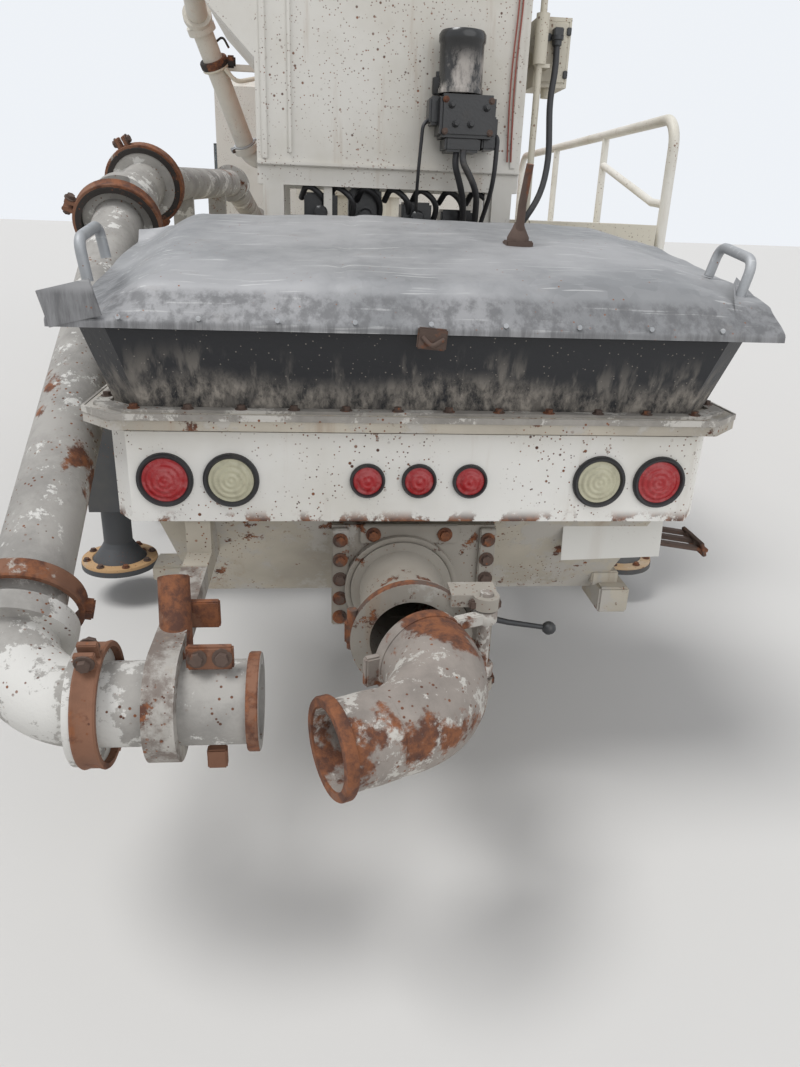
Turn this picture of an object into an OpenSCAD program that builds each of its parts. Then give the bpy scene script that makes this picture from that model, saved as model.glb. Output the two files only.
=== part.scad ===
// Truck-mounted concrete pump: a two-axle flat-front truck with a three-section
// boom folded over the cab, four outriggers and the pump hopper at the rear.
// Millimetres. x points right, y forward, z up from the ground.
// A station, in a name that ends in _s, is measured forward from the lamp panel.

/* [Chassis] */
// Outer width over the two frame rails
frame_w = 850; // [820:10:880]
// Height of the rails' top above the ground
frame_top = 1000; // [980:5:1020]
// Depth of a rail
rail_h = 270; // [250:5:290]
// Width of a rail's flange
rail_flange = 80; // [70:5:90]
// Sheet thickness of a rail
rail_t = 8; // [6:1:10]
// Station of the rails' rear end
frame_rear_s = 1000; // [980:10:1040]
// Station of the rails' front end
frame_front_s = 7900; // [7850:10:7940]
// Station of the rear axle
rear_axle_s = 2750; // [2700:10:2800]
// Station of the front axle
front_axle_s = 6950; // [6920:10:6980]
// Depth of the subframe rails that lie on the frame
subframe_h = 120; // [100:10:140]

/* [Wheels] */
// Outer radius of a tyre
tyre_r = 525; // [500:5:535]
// Width of a tyre
tyre_w = 280; // [260:5:290]
// Radius of the bead seat of a rim
rim_r = 286; // [270:1:295]
// Distance from the middle to the centre of a front wheel
front_track = 1020; // [1010:5:1040]
// Distance from the middle to the centre of a rear twin wheel
rear_track = 915; // [905:5:930]
// Distance between the centres of twin tyres
twin_pitch = 330; // [320:5:340]
// Distance from a kingpin to the centre of its wheel
kingpin_offset = 170; // [160:5:180]
// Diameter of a wheel spindle
spindle_d = 80; // [70:2:90]
// Radial clearance of a turning fit
fit = 0.05; // [0.03:0.01:0.08]

/* [Cab] */
// Width of the cab
cab_w = 2400; // [2300:20:2440]
// Height of the cab's underside
cab_z = 1200; // [1180:5:1220]
// Height of the roof
roof_z = 2660; // [2560:10:2700]
// Station of the cab's rear wall
cab_rear_s = 6400; // [6380:5:6430]
// Station of the cab's front at the grille
cab_front_s = 8150; // [8100:10:8200]
// Thickness of the cab's walls and doors
cab_t = 40; // [30:2:50]
// Gap round a door
door_gap = 6; // [5:1:8]
// Thickness of the glass
glass_t = 6; // [5:1:8]

/* [Hopper] */
// Height of the hopper's rim
rim_z = 1190; // [1180:5:1200]
// Half of the hopper's width at its rim
rim_hw = 785; // [760:5:800]
// Half of the hopper's width at its floor
floor_hw = 600; // [580:5:620]
// Height of the hopper's floor
hopper_z = 590; // [570:5:610]
// Station of the hopper's front wall
hopper_front_s = 900; // [880:5:920]
// Thickness of the hopper's walls
hopper_t = 10; // [8:1:14]
// Height of the rubber collar above the rim
collar_h = 185; // [160:5:200]
// Thickness of the rubber collar
collar_t = 12; // [8:1:16]

/* [Lamp panel] */
// Half of the panel's flat width
panel_hw = 690; // [680:5:700]
// Height of the panel's lower edge
panel_z = 914; // [900:2:920]
// Height of the panel
panel_h = 223; // [210:1:230]
// Sheet thickness of the panel
panel_t = 5; // [4:1:8]
// Height of the lamps' centres
lamp_z = 1020; // [1010:2:1030]
// Diameter of a large lamp over its rubber ring
big_lamp_d = 133.5; // [126:0.5:138]
// Diameter of a small lamp over its rubber ring
small_lamp_d = 86.5; // [80:0.5:92]

/* [Cover] */
// Half of the cover's length across the hopper
cover_hw = 810; // [800:5:820]
// Height of the cover's hinge
cover_hinge_z = 1500; // [1495:5:1510]
// Height of the cover's ridge at the rear
ridge_z = 1475; // [1465:5:1485]
// Height of the cover's top at its front edge
cover_top_z = 1600; // [1590:5:1610]
// Sheet thickness of the cover
cover_t = 4; // [3:1:6]

/* [Delivery line] */
// Outer diameter of the large pipe at the pump
pipe_d = 168; // [164:2:172]
// Outer diameter of the pipe on deck and boom
line_d = 140; // [136:2:142]
// Wall thickness of the pipes
pipe_t = 8; // [6:1:10]
// Outer diameter of a pipe flange
flange_d = 193; // [188:1:200]
// Outer diameter of the outlet at the hopper
outlet_d = 219; // [214:1:222]
// Height of the outlet's centre
outlet_z = 710; // [700:5:720]
// Distance of the outlet's centre left of the middle
outlet_x = 30; // [20:2:40]
// How far the outlet's flange stands behind the lamp panel
outlet_back = 235; // [230:1:240]
// Angle at which the swing elbow stands open
elbow_open = 22; // [18:1:26]
// Bend radius of the swing elbow
elbow_r = 200; // [195:1:210]

/* [Boom] */
// Station of the slewing axis
slew_s = 5100; // [5080:10:5130]
// Station of the lift pivot
lift_s = 3750; // [3740:10:3790]
// Height of the lift pivot
lift_z = 3120; // [3110:5:3140]
// Station of the pivot between the first and second section
fold2_s = 9050; // [9000:10:9100]
// Height of that pivot
fold2_z = 3340; // [3330:5:3350]
// Station of the pivot between the second and third section
fold3_s = 3550; // [3500:10:3600]
// Height of that pivot
fold3_z = 3720; // [3710:5:3730]
// Station of the third section's tip
tip_s = 8250; // [8000:10:8500]
// Width of the first section
arm1_w = 400; // [390:2:404]
// Width of the second section
arm2_w = 310; // [304:2:314]
// Width of the third section
arm3_w = 230; // [220:2:234]
// Plate thickness of a fork at a fold pivot
fork_t = 30; // [24:1:32]
// Distance from a fold pivot to its lever's eye
lever_r = 180; // [170:2:190]

/* [Outriggers] */
// Station of the rear jacks
rear_jack_s = 1460; // [1450:5:1480]
// Station of the front outrigger beams
front_jack_s = 5750; // [5730:5:5770]
// Distance from the middle to a jack's centre
jack_x = 1120; // [1110:5:1130]
// Height of a jack's foot above the ground
foot_z = 150; // [140:5:160]
// Diameter of a jack's foot
foot_d = 320; // [280:10:340]

/* [Hidden] */
$fn = 48;

c_white = "#e6e2d3";
c_cream = "#d9d1b8";
c_grey = "#8b8d8a";
c_zinc = "#a7abad";
c_dark = "#33363a";
c_rust = "#6b4a38";
c_rubber = "#1f2021";
c_orange = "#c7682e";
c_glass = "#26323a";
c_red = "#b3251d";

// Places of the outlet, its hinge pin and the swing elbow.
flange_t = 28;
ring_d = 285;
pin_x = 135;
pin_s = -outlet_back - 12;
pin_d = 30;
lug_z0 = 590;
lug_z1 = 830;
elbow_gap = 6;
elbow_end_x = -outlet_x - 315;
line_y = -outlet_back - elbow_gap - flange_t - elbow_r;

// The origin lies midway between the elbow's flange and the eye of the fold rod.
lever_a = 40;
lever_eye_r = 40;
rod_eye_d = 84;
front_end_s = fold2_s + lever_r*cos(lever_a) + rod_eye_d/2;
rear_end_s = pin_s + (elbow_end_x - pin_x)*sin(elbow_open) + (line_y - flange_d/2 - pin_s)*cos(elbow_open);
kingpin_x = front_track - kingpin_offset;
origin_s = (front_end_s + rear_end_s)/2;

rail_x = frame_w/2;
rail_in = rail_x - rail_flange;
frame_bot = frame_top - rail_h;
sub_top = frame_top + subframe_h;
axle_z = tyre_r;
touch = 0.3;

// Whole truck moved so that stations become y.
module truck() {
  translate([0, -origin_s, 0]) children();
}

// A child drawn at x = 0 facing right, and its mirror on the left.
module both_sides() {
  children();
  mirror([1, 0, 0]) children();
}

module box(x0, x1, s0, s1, z0, z1) {
  translate([x0, s0, z0]) cube([x1 - x0, s1 - s0, z1 - z0]);
}

// A round bar along x.
module bar_x(d, x0, x1, s, z) {
  translate([x0, s, z]) rotate([0, 90, 0]) cylinder(d = d, h = x1 - x0);
}

// A round bar along y.
module bar_y(d, x, s0, s1, z) {
  translate([x, s0, z]) rotate([-90, 0, 0]) cylinder(d = d, h = s1 - s0);
}

// A profile of [station, z] points with a thickness from x0 to x1.
module slab_x(x0, x1) {
  translate([x0, 0, 0]) rotate([90, 0, 90]) linear_extrude(x1 - x0) children();
}

// A profile of [x, z] points with a thickness from s0 to s1.
module slab_y(s0, s1) {
  translate([0, s1, 0]) rotate([90, 0, 0]) linear_extrude(s1 - s0) children();
}

module round_rect(w, h, r) {
  square([w - 2*r, h], center = true);
  square([w, h - 2*r], center = true);
  for (i = [-1, 1], j = [-1, 1]) translate([i*(w/2 - r), j*(h/2 - r)]) circle(r);
}

function unit(v) = v/norm(v);
function turn(a, b) = acos(max(-1, min(1, a*b)));
function dir(p, i) = unit(p[i + 1] - p[i]);
function cut_back(p, r, i) =
  i <= 0 || i >= len(p) - 1 ? 0 : r*tan(turn(dir(p, i - 1), dir(p, i))/2);

// A round bar or tube from point a to point b.
module rod(a, b, d, bore = 0) {
  v = b - a;
  translate(a) rotate([0, acos(v[2]/norm(v)), atan2(v[1], v[0])])
    linear_extrude(norm(v)) difference() {
      circle(d = d);
      if (bore > 0) circle(d = bore);
    }
}

// A bend of radius r at point q, from direction a to direction b.
module bend(q, a, b, r, d, bore = 0) {
  n = unit(b - a*(a*b));
  c = q - a*r*tan(turn(a, b)/2) + n*r;
  k = cross(-n, a);
  multmatrix([[-n[0], a[0], k[0], c[0]], [-n[1], a[1], k[1], c[1]], [-n[2], a[2], k[2], c[2]]])
    rotate_extrude(angle = turn(a, b)) translate([r, 0]) difference() {
      circle(d = d);
      if (bore > 0) circle(d = bore);
    }
}

// A bent round bar along the points p with bends of radius r.
module bent_bar(p, r, d) {
  for (i = [0 : len(p) - 2]) {
    a = p[i] + dir(p, i)*cut_back(p, r, i);
    b = p[i + 1] - dir(p, i)*cut_back(p, r, i + 1);
    if (norm(b - a) > 0.01) rod(a, b, d);
    if (i > 0) bend(p[i], dir(p, i - 1), dir(p, i), r, d);
  }
}

// A round bar along the points p with a ball at each corner.
module cornered_bar(p, d) {
  for (i = [0 : len(p) - 2]) rod(p[i], p[i + 1], d);
  for (i = [1 : len(p) - 2]) translate(p[i]) sphere(d = d + 1);
}

// A ring of thickness h centred at c, facing along the unit vector v.
module ring(c, v, d, bore, h) {
  rod(c - v*(h/2), c + v*(h/2), d, bore);
}

// A line of straight pipes and bends, each pair of ends held by a coupling. Where
// a bend ends the line, as at a swivel, it has a narrow flange instead. A slight
// bend gets a larger radius, so that the couplings at its ends don't meet.
joint_gap = 2;
joint_l = 46;
swivel_l = 20;
function bend_r(p, r, i) =
  i <= 0 || i >= len(p) - 1 ? r : max(r, 2*joint_l/(turn(dir(p, i - 1), dir(p, i))*PI/180));
module pipe_line(p, r, d, wall, coupling_d) {
  last = len(p) - 2;
  for (i = [0 : last]) {
    v = dir(p, i);
    start = p[i] + v*cut_back(p, bend_r(p, r, i), i);
    end = p[i + 1] - v*cut_back(p, bend_r(p, r, i + 1), i + 1);
    if (norm(end - start) > joint_l) {
      rod(start + v*(i > 0 ? joint_gap : 0), end - v*(i < last ? joint_gap : 0), d, d - 2*wall);
      if (i > 0) ring(start + v*joint_gap/2, v, coupling_d, d - wall, joint_l);
      if (i < last) ring(end - v*joint_gap/2, v, coupling_d, d - wall, joint_l);
    } else if (i == 0) {
      ring(p[0] + v*swivel_l/2, v, coupling_d, d - wall, swivel_l);
    } else {
      ring(p[i + 1] - v*swivel_l/2, v, coupling_d, d - wall, swivel_l);
    }
    if (i > 0) bend(p[i], dir(p, i - 1), v, bend_r(p, r, i), d, d - 2*wall);
  }
}

// Frame rails, cross-members, subframe and the outrigger housings.
beam_h = 160;
beam_w = 150;
beam_z = 540;
housing_t = 12;
slide_gap = 0.5;
module chassis_frame() color(c_dark) truck() {
  both_sides() difference() {
    union() {
      difference() {
        box(rail_in, rail_x, frame_rear_s, frame_front_s, frame_bot, frame_top);
        box(rail_in - 1, rail_x - rail_t, frame_rear_s - 1, frame_front_s + 1,
          frame_bot + rail_t, frame_top - rail_t);
      }
      box(rail_in, rail_x, frame_rear_s, cab_rear_s - 150, frame_top, sub_top);
    }
    for (s = [1900 : 450 : 5200]) bar_x(36, rail_in - 1, rail_x + 1, s, frame_top - rail_h/2);
  }
  for (s = [3500, 4600, front_jack_s + 250, frame_front_s - 60])
    box(-rail_x + rail_t, rail_x - rail_t, s - 40, s + 40, frame_bot + rail_t, frame_bot + 90);
  both_sides() for (s = [cab_rear_s + 100, cab_front_s - 450])
    box(rail_in + 10, rail_x - 10, s - 50, s + 50, frame_top, cab_z);
  outrigger_housing(front_jack_s, jack_x - 90);
  rear_jack_beam();
}

// A hollow cross beam under the rails that the front outrigger beams slide in.
module outrigger_housing(s, half) {
  hole_w = beam_w/2 + slide_gap;
  hole_h = beam_h/2 + slide_gap;
  translate([0, s, 0]) difference() {
    box(-half, half, -hole_w - housing_t, hole_w + housing_t, beam_z - hole_h - housing_t, beam_z + hole_h + housing_t);
    box(-half - 1, half + 1, -hole_w, hole_w, beam_z - hole_h, beam_z + hole_h);
  }
  both_sides() box(rail_x - 60, rail_x, s - 60, s + 60, beam_z + hole_h + housing_t, frame_bot);
}

jack_tube = 170;
jack_t = 10;
jack_leg_d = 120;
jack_top = 1280;
jack_bot = 420;
jack_guide = 40;
module jack_guide_tube() {
  difference() {
    box(-jack_tube/2, jack_tube/2, -jack_tube/2, jack_tube/2, jack_bot, jack_top);
    box(-jack_tube/2 + jack_t, jack_tube/2 - jack_t, -jack_tube/2 + jack_t, jack_tube/2 - jack_t,
      jack_bot + jack_guide, jack_top - jack_t);
    translate([0, 0, jack_bot - 1]) cylinder(d = jack_leg_d + 2*fit, h = jack_guide + 2);
  }
}

module rear_jack_beam() {
  z0 = 560;
  z1 = frame_bot;
  both_sides() {
    translate([jack_x, rear_jack_s, 0]) jack_guide_tube();
    difference() {
      box(0, jack_x - jack_tube/2, rear_jack_s - 80, rear_jack_s + 80, z0, z1);
      box(-1, jack_x - jack_tube/2 - 14, rear_jack_s - 68, rear_jack_s + 68, z0 + 12, z1 - 12);
    }
    box(rail_x, rail_x + 12, rear_jack_s - 80, rear_jack_s + 80, frame_bot, frame_top);
    box(rail_x - 60, rail_x + 12, rear_jack_s - 80, rear_jack_s + 80, frame_bot - 1, frame_bot);
  }
}

// Front beam with leaf springs, rear housing with its differential and springs.
module axles() color(c_dark) truck() {
  both_sides() {
    difference() {
      union() {
        box(-1, kingpin_x - ear_d/2 - 10, front_axle_s - 45, front_axle_s + 45, axle_z - 130, axle_z - 30);
        translate([kingpin_x, front_axle_s, axle_z - 75]) cylinder(d = 100, h = 150);
        box(kingpin_x - 130, kingpin_x, front_axle_s - 45, front_axle_s + 45, axle_z - 75, axle_z + 20);
      }
      translate([kingpin_x, front_axle_s, 0]) cylinder(d = 44 + 2*fit, h = frame_top);
    }
    leaf_spring(front_axle_s, axle_z - 30);
    leaf_spring(rear_axle_s, axle_z + 70);
    bar_x(140, -1, rear_track - twin_pitch/2 - 170, rear_axle_s, axle_z);
    bar_x(spindle_d, 0, rear_track + 60, rear_axle_s, axle_z);
  }
  translate([0, rear_axle_s, axle_z]) rotate([0, 90, 0])
    rotate_extrude() polygon([[0, -150], [120, -150], [190, -60], [190, 60], [120, 150], [0, 150]]);
  rod([0, rear_axle_s + 150, axle_z + 20], [0, front_jack_s - 200, axle_z + 120], 100);
}

// Leaves stacked under a rail, between two hanger eyes.
module leaf_spring(s, z) {
  x0 = rail_x - 75;
  x1 = rail_x - 5;
  for (i = [0 : 3]) {
    half = 620 - 130*i;
    box(x0, x1, s - half, s + half, z + 60 - 14*i, z + 74 - 14*i);
  }
  box(x0, x1, s - 60, s + 60, z - 1, z + 24);
  for (i = [-1, 1]) {
    bar_x(60, x0, x1, s + i*600, z + 74);
    box(x0 + 15, x1 - 15, s + i*600 - 25, s + i*600 + 25, z + 80, frame_bot);
  }
}

engine_l = 1050;
module engine_block() color(c_grey) truck() {
  s0 = cab_rear_s + 130;
  box(-rail_in + 25, rail_in - 25, s0, s0 + engine_l, 660, cab_z - 25);
  both_sides() for (s = [s0 + 60, s0 + engine_l - 160])
    box(rail_in - 26, rail_x - rail_t - 2, s, s + 100, frame_bot + rail_t, frame_bot + 60);
}

// Side outline of the cab, inset by t: front raked from the grille to the roof.
module cab_outline(t) {
  polygon([[cab_rear_s + t, cab_z + t], [cab_front_s - 20 - t, cab_z + t],
    [cab_front_s - t, cab_z + 130], [cab_front_s - 12 - t, 1800],
    [cab_front_s - 235 - 1.1*t, roof_z - 60 - 0.4*t], [cab_front_s - 330 - t, roof_z - t],
    [cab_rear_s + 60 + t, roof_z - t], [cab_rear_s + t, roof_z - 50 - t]]);
}

door_s0 = cab_rear_s + 260;
door_s1 = cab_rear_s + 1330;
door_z0 = cab_z + 50;
door_z1 = roof_z - 130;
// Door outline with the front edge following the windscreen pillar.
module door_outline(g) {
  polygon([[door_s0 + g, door_z0 + g], [door_s1 - g, door_z0 + g], [door_s1 - g, 1850],
    [door_s1 - 150 - g, door_z1 - g], [door_s0 + 60 + g, door_z1 - g], [door_s0 + g, door_z1 - 60 - g]]);
}

// Window in a door: m is the frame left round it.
module door_window(m) {
  polygon([[door_s0 + m, 1900], [door_s1 - m - 10, 1900], [door_s1 - m - 130, door_z1 - m],
    [door_s0 + m + 40, door_z1 - m], [door_s0 + m, door_z1 - m - 40]]);
}

screen_z0 = 1810;
screen_hw = cab_w/2 - 110;
module cab_shell() color(c_white) truck() {
  difference() {
    slab_x(-cab_w/2, cab_w/2) cab_outline(0);
    slab_x(-cab_w/2 + cab_t, cab_w/2 - cab_t) cab_outline(cab_t);
    slab_x(-cab_w/2 - 1, cab_w/2 + 1) door_outline(0);
    box(-screen_hw, screen_hw, cab_front_s - 400, cab_front_s + 50, screen_z0, roof_z - 90);
    box(-700, 700, cab_rear_s - 1, cab_rear_s + cab_t + 1, 1950, 2350);
    both_sides() translate([cab_w/2, cab_front_s, 0]) rotate([0, 0, 45])
      box(-60, 60, -60, 60, cab_z - 1, roof_z + 1);
  }
  both_sides() for (z = hinge_zs) {
    translate([hinge_x, hinge_y, z - 15]) cylinder(d = knuckle_d, h = 30);
    translate([hinge_x, hinge_y, z - 42]) cylinder(d = 12, h = 84);
    box(cab_w/2, hinge_x, hinge_y, hinge_y + 60, z - 15, z + 15);
  }
}
// Door hinges stand outside the skin: a knuckle and pin on the pillar.
knuckle_d = 26;
hinge_x = cab_w/2 + knuckle_d/2 + 1;
hinge_y = door_s1 + 2;
hinge_zs = [door_z0 + 120, 1780];

// Panes of the windscreen and the rear window, set in their openings.
module cab_glass() color(c_glass) truck() {
  intersection() {
    difference() {
      slab_x(-screen_hw + touch, screen_hw - touch) cab_outline(12);
      slab_x(-screen_hw, screen_hw) cab_outline(12 + glass_t);
    }
    box(-screen_hw, screen_hw, cab_front_s - 380, cab_front_s + 50, screen_z0 + touch, roof_z - 90 - touch);
  }
  box(-700 + touch, 700 - touch, cab_rear_s + 12, cab_rear_s + 12 + glass_t, 1950 + touch, 2350 - touch);
}

head_lamp_d = 146;
bumper_s0 = cab_front_s - 100;
bumper_s1 = cab_front_s + 130;
module front_bumper() color(c_dark) truck() {
  difference() {
    box(-cab_w/2, cab_w/2, bumper_s0, bumper_s1, 350, 930);
    box(-cab_w/2 + 60, cab_w/2 - 60, bumper_s0 - 1, bumper_s1 - 40, 349, 931);
    both_sides() translate([cab_w/2, bumper_s1, 0]) rotate([0, 0, 45]) box(-80, 80, -80, 80, 300, 1000);
    both_sides() bar_y(head_lamp_d + 4, cab_w/2 - 330, bumper_s1 - 28, bumper_s1 + 1, 640);
    box(-450, 450, bumper_s1 - 60, bumper_s1 + 1, 560, 760);
  }
  for (z = [600, 660, 720]) box(-452, 452, bumper_s1 - 30, bumper_s1 - 10, z - 12, z + 12);
  both_sides() {
    box(rail_in, rail_x, frame_front_s, bumper_s1 - 40, frame_bot, frame_top - 72);
    box(cab_w/2 - 400, cab_w/2, bumper_s0 - 320, bumper_s0, 350, 380);
    box(cab_w/2 - 400, cab_w/2, bumper_s0 - 320, bumper_s0, 720, 750);
    box(cab_w/2 - 400, cab_w/2 - 370, bumper_s0 - 320, bumper_s0 + 1, 350, 1150);
    box(cab_w/2 - 400, cab_w/2 - 30, bumper_s0, bumper_s0 + 30, 930, 1150);
  }
  for (z = [970 : 70 : 1120]) box(-cab_w/2 + 60, cab_w/2 - 60, cab_front_s - 70, cab_front_s - 40, z, z + 30);
  for (x = [-700, -230, 230, 700]) box(x - 20, x + 20, cab_front_s - 90, cab_front_s - 70, 970, 1150);
}

// Lamps: [x, kind] along the rear panel, kind 1 large and 0 small.
rear_lamps = [[-607, 1], [-452, 1], [-126, 0], [0, 0], [126, 0], [452, 1], [607, 1]];
function lamp_d(kind) = kind == 1 ? big_lamp_d : small_lamp_d;
lamp_neck = 16;
module lamps() color(c_red) truck() {
  for (l = rear_lamps) translate([l[0], 0, lamp_z])
    rotate([90, 0, 0]) cylinder(d = lamp_d(l[1]) - 2*lamp_neck, h = 40, center = true);
  for (l = rear_lamps) translate([l[0], -touch, lamp_z]) rotate([90, 0, 0]) rotate_extrude()
    polygon([[0, 0], [lamp_d(l[1])/2, 0], [lamp_d(l[1])/2 - 2, 6], [lamp_d(l[1])/2 - 17, 8],
      [lamp_d(l[1])/2 - 19, 4], [0, 9]]);
  both_sides() bar_y(head_lamp_d, cab_w/2 - 330, bumper_s1 - 28, bumper_s1 - 4, 640);
}

module mirrors() color(c_dark) truck() both_sides() {
  x = cab_w/2 + 130;
  s = cab_front_s - 110;
  cornered_bar([[cab_w/2 + 12, s - 60, 2300], [x, s + 30, 2300], [x, s + 30, 1800], [cab_w/2 + 12, s - 60, 1800]], 24);
  for (z = [1800, 2300]) box(cab_w/2, cab_w/2 + 16, s - 85, s - 35, z - 20, z + 20);
  translate([x, s + 30, 2050]) rotate([0, 0, -12]) box(-95, 95, -25, 35, -190, 190);
}

module cab_interior() color(c_dark) truck() {
  floor_z = cab_z + cab_t;
  for (x = [-580, 580]) {
    box(x - 250, x + 250, cab_rear_s + 420, cab_rear_s + 920, floor_z, floor_z + 420);
    box(x - 230, x + 230, cab_rear_s + 330, cab_rear_s + 450, floor_z + 420, floor_z + 1040);
  }
  box(-cab_w/2 + cab_t + 30, cab_w/2 - cab_t - 30, cab_front_s - 420, cab_front_s - cab_t - 45,
    floor_z + 150, 1780);
  rod([-580, cab_front_s - 430, 1650], [-580, cab_front_s - 560, 1760], 50);
  translate([-580, cab_front_s - 560, 1760]) rotate([50, 0, 0])
    rotate_extrude() translate([215, 0]) circle(16, $fn = 24);
  translate([-580, cab_front_s - 560, 1760]) rotate([50, 0, 0]) {
    translate([-210, -20, -6]) cube([420, 40, 12]);
    cylinder(d = 110, h = 24, center = true);
  }
  box(-cab_w/2 + cab_t, cab_w/2 - cab_t, cab_front_s - 420, cab_front_s - 360, floor_z, floor_z + 150);
}

// Fuel tank on the right, air tanks and battery box on the left, with their straps.
tank_s0 = 4350;
module side_tanks() color(c_zinc) truck() {
  translate([rail_x + 330, tank_s0, 700]) rotate([-90, 0, 0]) linear_extrude(900) round_rect(600, 560, 90);
  for (s = [tank_s0 + 180, tank_s0 + 660]) {
    box(rail_x, rail_x + 34, s, s + 60, frame_bot + 20, frame_top - 20);
    box(-rail_x - 75, -rail_x, s, s + 60, frame_bot + 20, frame_top - 150);
  }
  box(-rail_x - 600, -rail_x - 30, tank_s0, tank_s0 + 500, 480, 980);
  bar_y(260, -rail_x - 200, tank_s0 + 500, tank_s0 + 1080, 760);
}

// Mudguards over the rear twins and behind the front wheels, with their stays.
fender_t = 6;
fender_r = tyre_r + 75;
module fenders() color(c_dark) truck() both_sides() {
  translate([rear_track - 310, rear_axle_s, axle_z]) rotate([90, 0, 90]) rotate([0, 0, 12])
    rotate_extrude(angle = 156) translate([fender_r, 0]) square([fender_t, 620]);
  for (i = [-1, 1]) box(rail_x, rear_track - 310, rear_axle_s + i*430 - 25, rear_axle_s + i*430 + 25,
    frame_top - 60, frame_top - 20);
  translate([kingpin_x, front_axle_s, axle_z]) rotate([90, 0, 90]) rotate([0, 0, 118])
    rotate_extrude(angle = 50) translate([fender_r + 60, 0]) square([fender_t, 330]);
  box(rail_x, kingpin_x, front_axle_s - 560, front_axle_s - 520, frame_top - 90, frame_top - 60);
}

// Walkway each side on cross bearers, with the box at its right rear corner.
deck_z = 1480;
deck_t = 30;
deck_s0 = 1560;
deck_s1 = 4300;
deck_x0 = 520;
deck_x1 = 1190;
module deck() color(c_cream) truck() {
  both_sides() box(deck_x0, deck_x1, deck_s0, deck_s1, deck_z - deck_t, deck_z);
  for (s = [deck_s0 + 60, 2150, 3350, deck_s1 - 120]) {
    box(-deck_x1 + 20, deck_x1 - 20, s, s + 60, deck_z - deck_t - 60, deck_z - deck_t);
    both_sides() box(rail_in, rail_x, s, s + 60, sub_top, deck_z - deck_t - 60);
  }
  box(600, 1130, deck_s0, deck_s0 + 460, deck_z, deck_z + 130);
}

rail_tube = 42;
rail_post_x = 1165;
module railing() color(c_white) truck() {
  x = rail_post_x;
  s0 = deck_s0 + 30;
  top = 2010;
  bent_bar([[x, s0, deck_z + touch], [x, s0, top], [x, deck_s1 - 60, top], [x, deck_s1 - 60, deck_z + touch]],
    110, rail_tube);
  for (s = [2450, 3350]) rod([x, s, deck_z + touch], [x, s, top], rail_tube - 8);
  cornered_bar([[x, 2450, 1875], [x, s0 + 150, 1700], [x, s0, 1690]], rail_tube - 10);
}

// The tank on legs between the hopper and the deck.
tank_hw = 457;
tank_s = 1200;
tank_l = 640;
tank_z = 1760;
tank_top = 2600;
flare_z = 2080;
flare = 150;
tank_leg = 70;
module tank_box() color(c_white) truck() {
  difference() {
    slab_y(tank_s, tank_s + tank_l) polygon([[-tank_hw, tank_z], [tank_hw, tank_z], [tank_hw, tank_top],
      [-tank_hw - flare, tank_top], [-tank_hw - flare, flare_z + flare], [-tank_hw, flare_z]]);
    slab_y(tank_s + 6, tank_s + tank_l - 6) polygon([[-tank_hw + 6, tank_z + 6], [tank_hw - 6, tank_z + 6],
      [tank_hw - 6, tank_top - 6], [-tank_hw - flare + 6, tank_top - 6],
      [-tank_hw - flare + 6, flare_z + flare + 3], [-tank_hw + 6, flare_z + 3]]);
  }
  for (s = [tank_s + 10, tank_s + tank_l - tank_leg - 10]) {
    box(-tank_hw, tank_hw, s, s + tank_leg, tank_z - 60, tank_z);
    both_sides() box(tank_hw - tank_leg - 18, tank_hw - 18, s, s + tank_leg, sub_top, tank_z - 60);
  }
  translate([250, tank_s + tank_l/2, tank_top]) cylinder(d = 220, h = 40);
}

pump_x = 218;
module grease_pump() color(c_dark) truck() {
  translate([pump_x, tank_s - 78, 1995]) cylinder(d = 153, h = 165);
  translate([pump_x, tank_s - 78, 2160]) cylinder(d = 120, h = 18);
  difference() {
    box(100, 335, tank_s - 150, tank_s, 1815, 1995);
    box(99, 150, tank_s - 151, tank_s - 90, 1900, 1996);
  }
  translate([150, tank_s - 60, 1995]) cylinder(d = 46, h = 50);
}

ctrl_x = tank_hw + 103;
ctrl_rod_x = ctrl_x - 55;
module control_box() color(c_cream) truck() {
  difference() {
    box(ctrl_x - 60, ctrl_x + 60, tank_s + 90, tank_s + 260, 2050, 2262);
    box(ctrl_x - 52, ctrl_x + 52, tank_s + 89, tank_s + 94, 2062, 2250);
  }
  box(tank_hw, ctrl_x - 60, tank_s + 150, tank_s + 190, 2120, 2160);
  rod([ctrl_rod_x, tank_s + 40, frame_top - 50], [ctrl_rod_x, tank_s + 40, 2350], 23);
  rod([ctrl_rod_x, tank_s + 40, 2110], [ctrl_rod_x, tank_s + 40, 2260], 45);
  box(ctrl_rod_x, ctrl_x - 20, tank_s + 28, tank_s + 90, 2100, 2112);
  rod([ctrl_x, tank_s + 130, 2020], [ctrl_x, tank_s + 130, 2050], 38);
  box(rail_x, ctrl_rod_x + 11, tank_s + 28, tank_s + 52, frame_top - 90, frame_top - 45);
}

// Fixed column under the slewing ring, standing on the subframe.
pedestal_top = 1760;
pedestal_d = 760;
module pedestal() color(c_cream) truck() {
  translate([0, slew_s, 0]) difference() {
    union() {
      translate([0, 0, sub_top + 160]) cylinder(d = pedestal_d, h = pedestal_top - sub_top - 160);
      box(-520, 520, -560, 560, sub_top, sub_top + 160);
      for (a = [45 : 90 : 315]) rotate([0, 0, a]) slab_y(-12, 12)
        polygon([[pedestal_d/2 - 20, sub_top + 160], [560, sub_top + 160], [pedestal_d/2 - 20, pedestal_top - 160]]);
      translate([0, 0, pedestal_top - 40]) cylinder(d = pedestal_d + 120, h = 40);
    }
    translate([0, 0, sub_top + 200]) cylinder(d = pedestal_d - 60, h = pedestal_top);
    translate([-pedestal_d/2, 0, 1500]) rotate([0, 90, 0]) cylinder(d = line_d + 40, h = 200, center = true);
    box(-rail_in + 60, rail_in - 60, -561, 561, sub_top - 1, sub_top + 40);
  }
}

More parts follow.
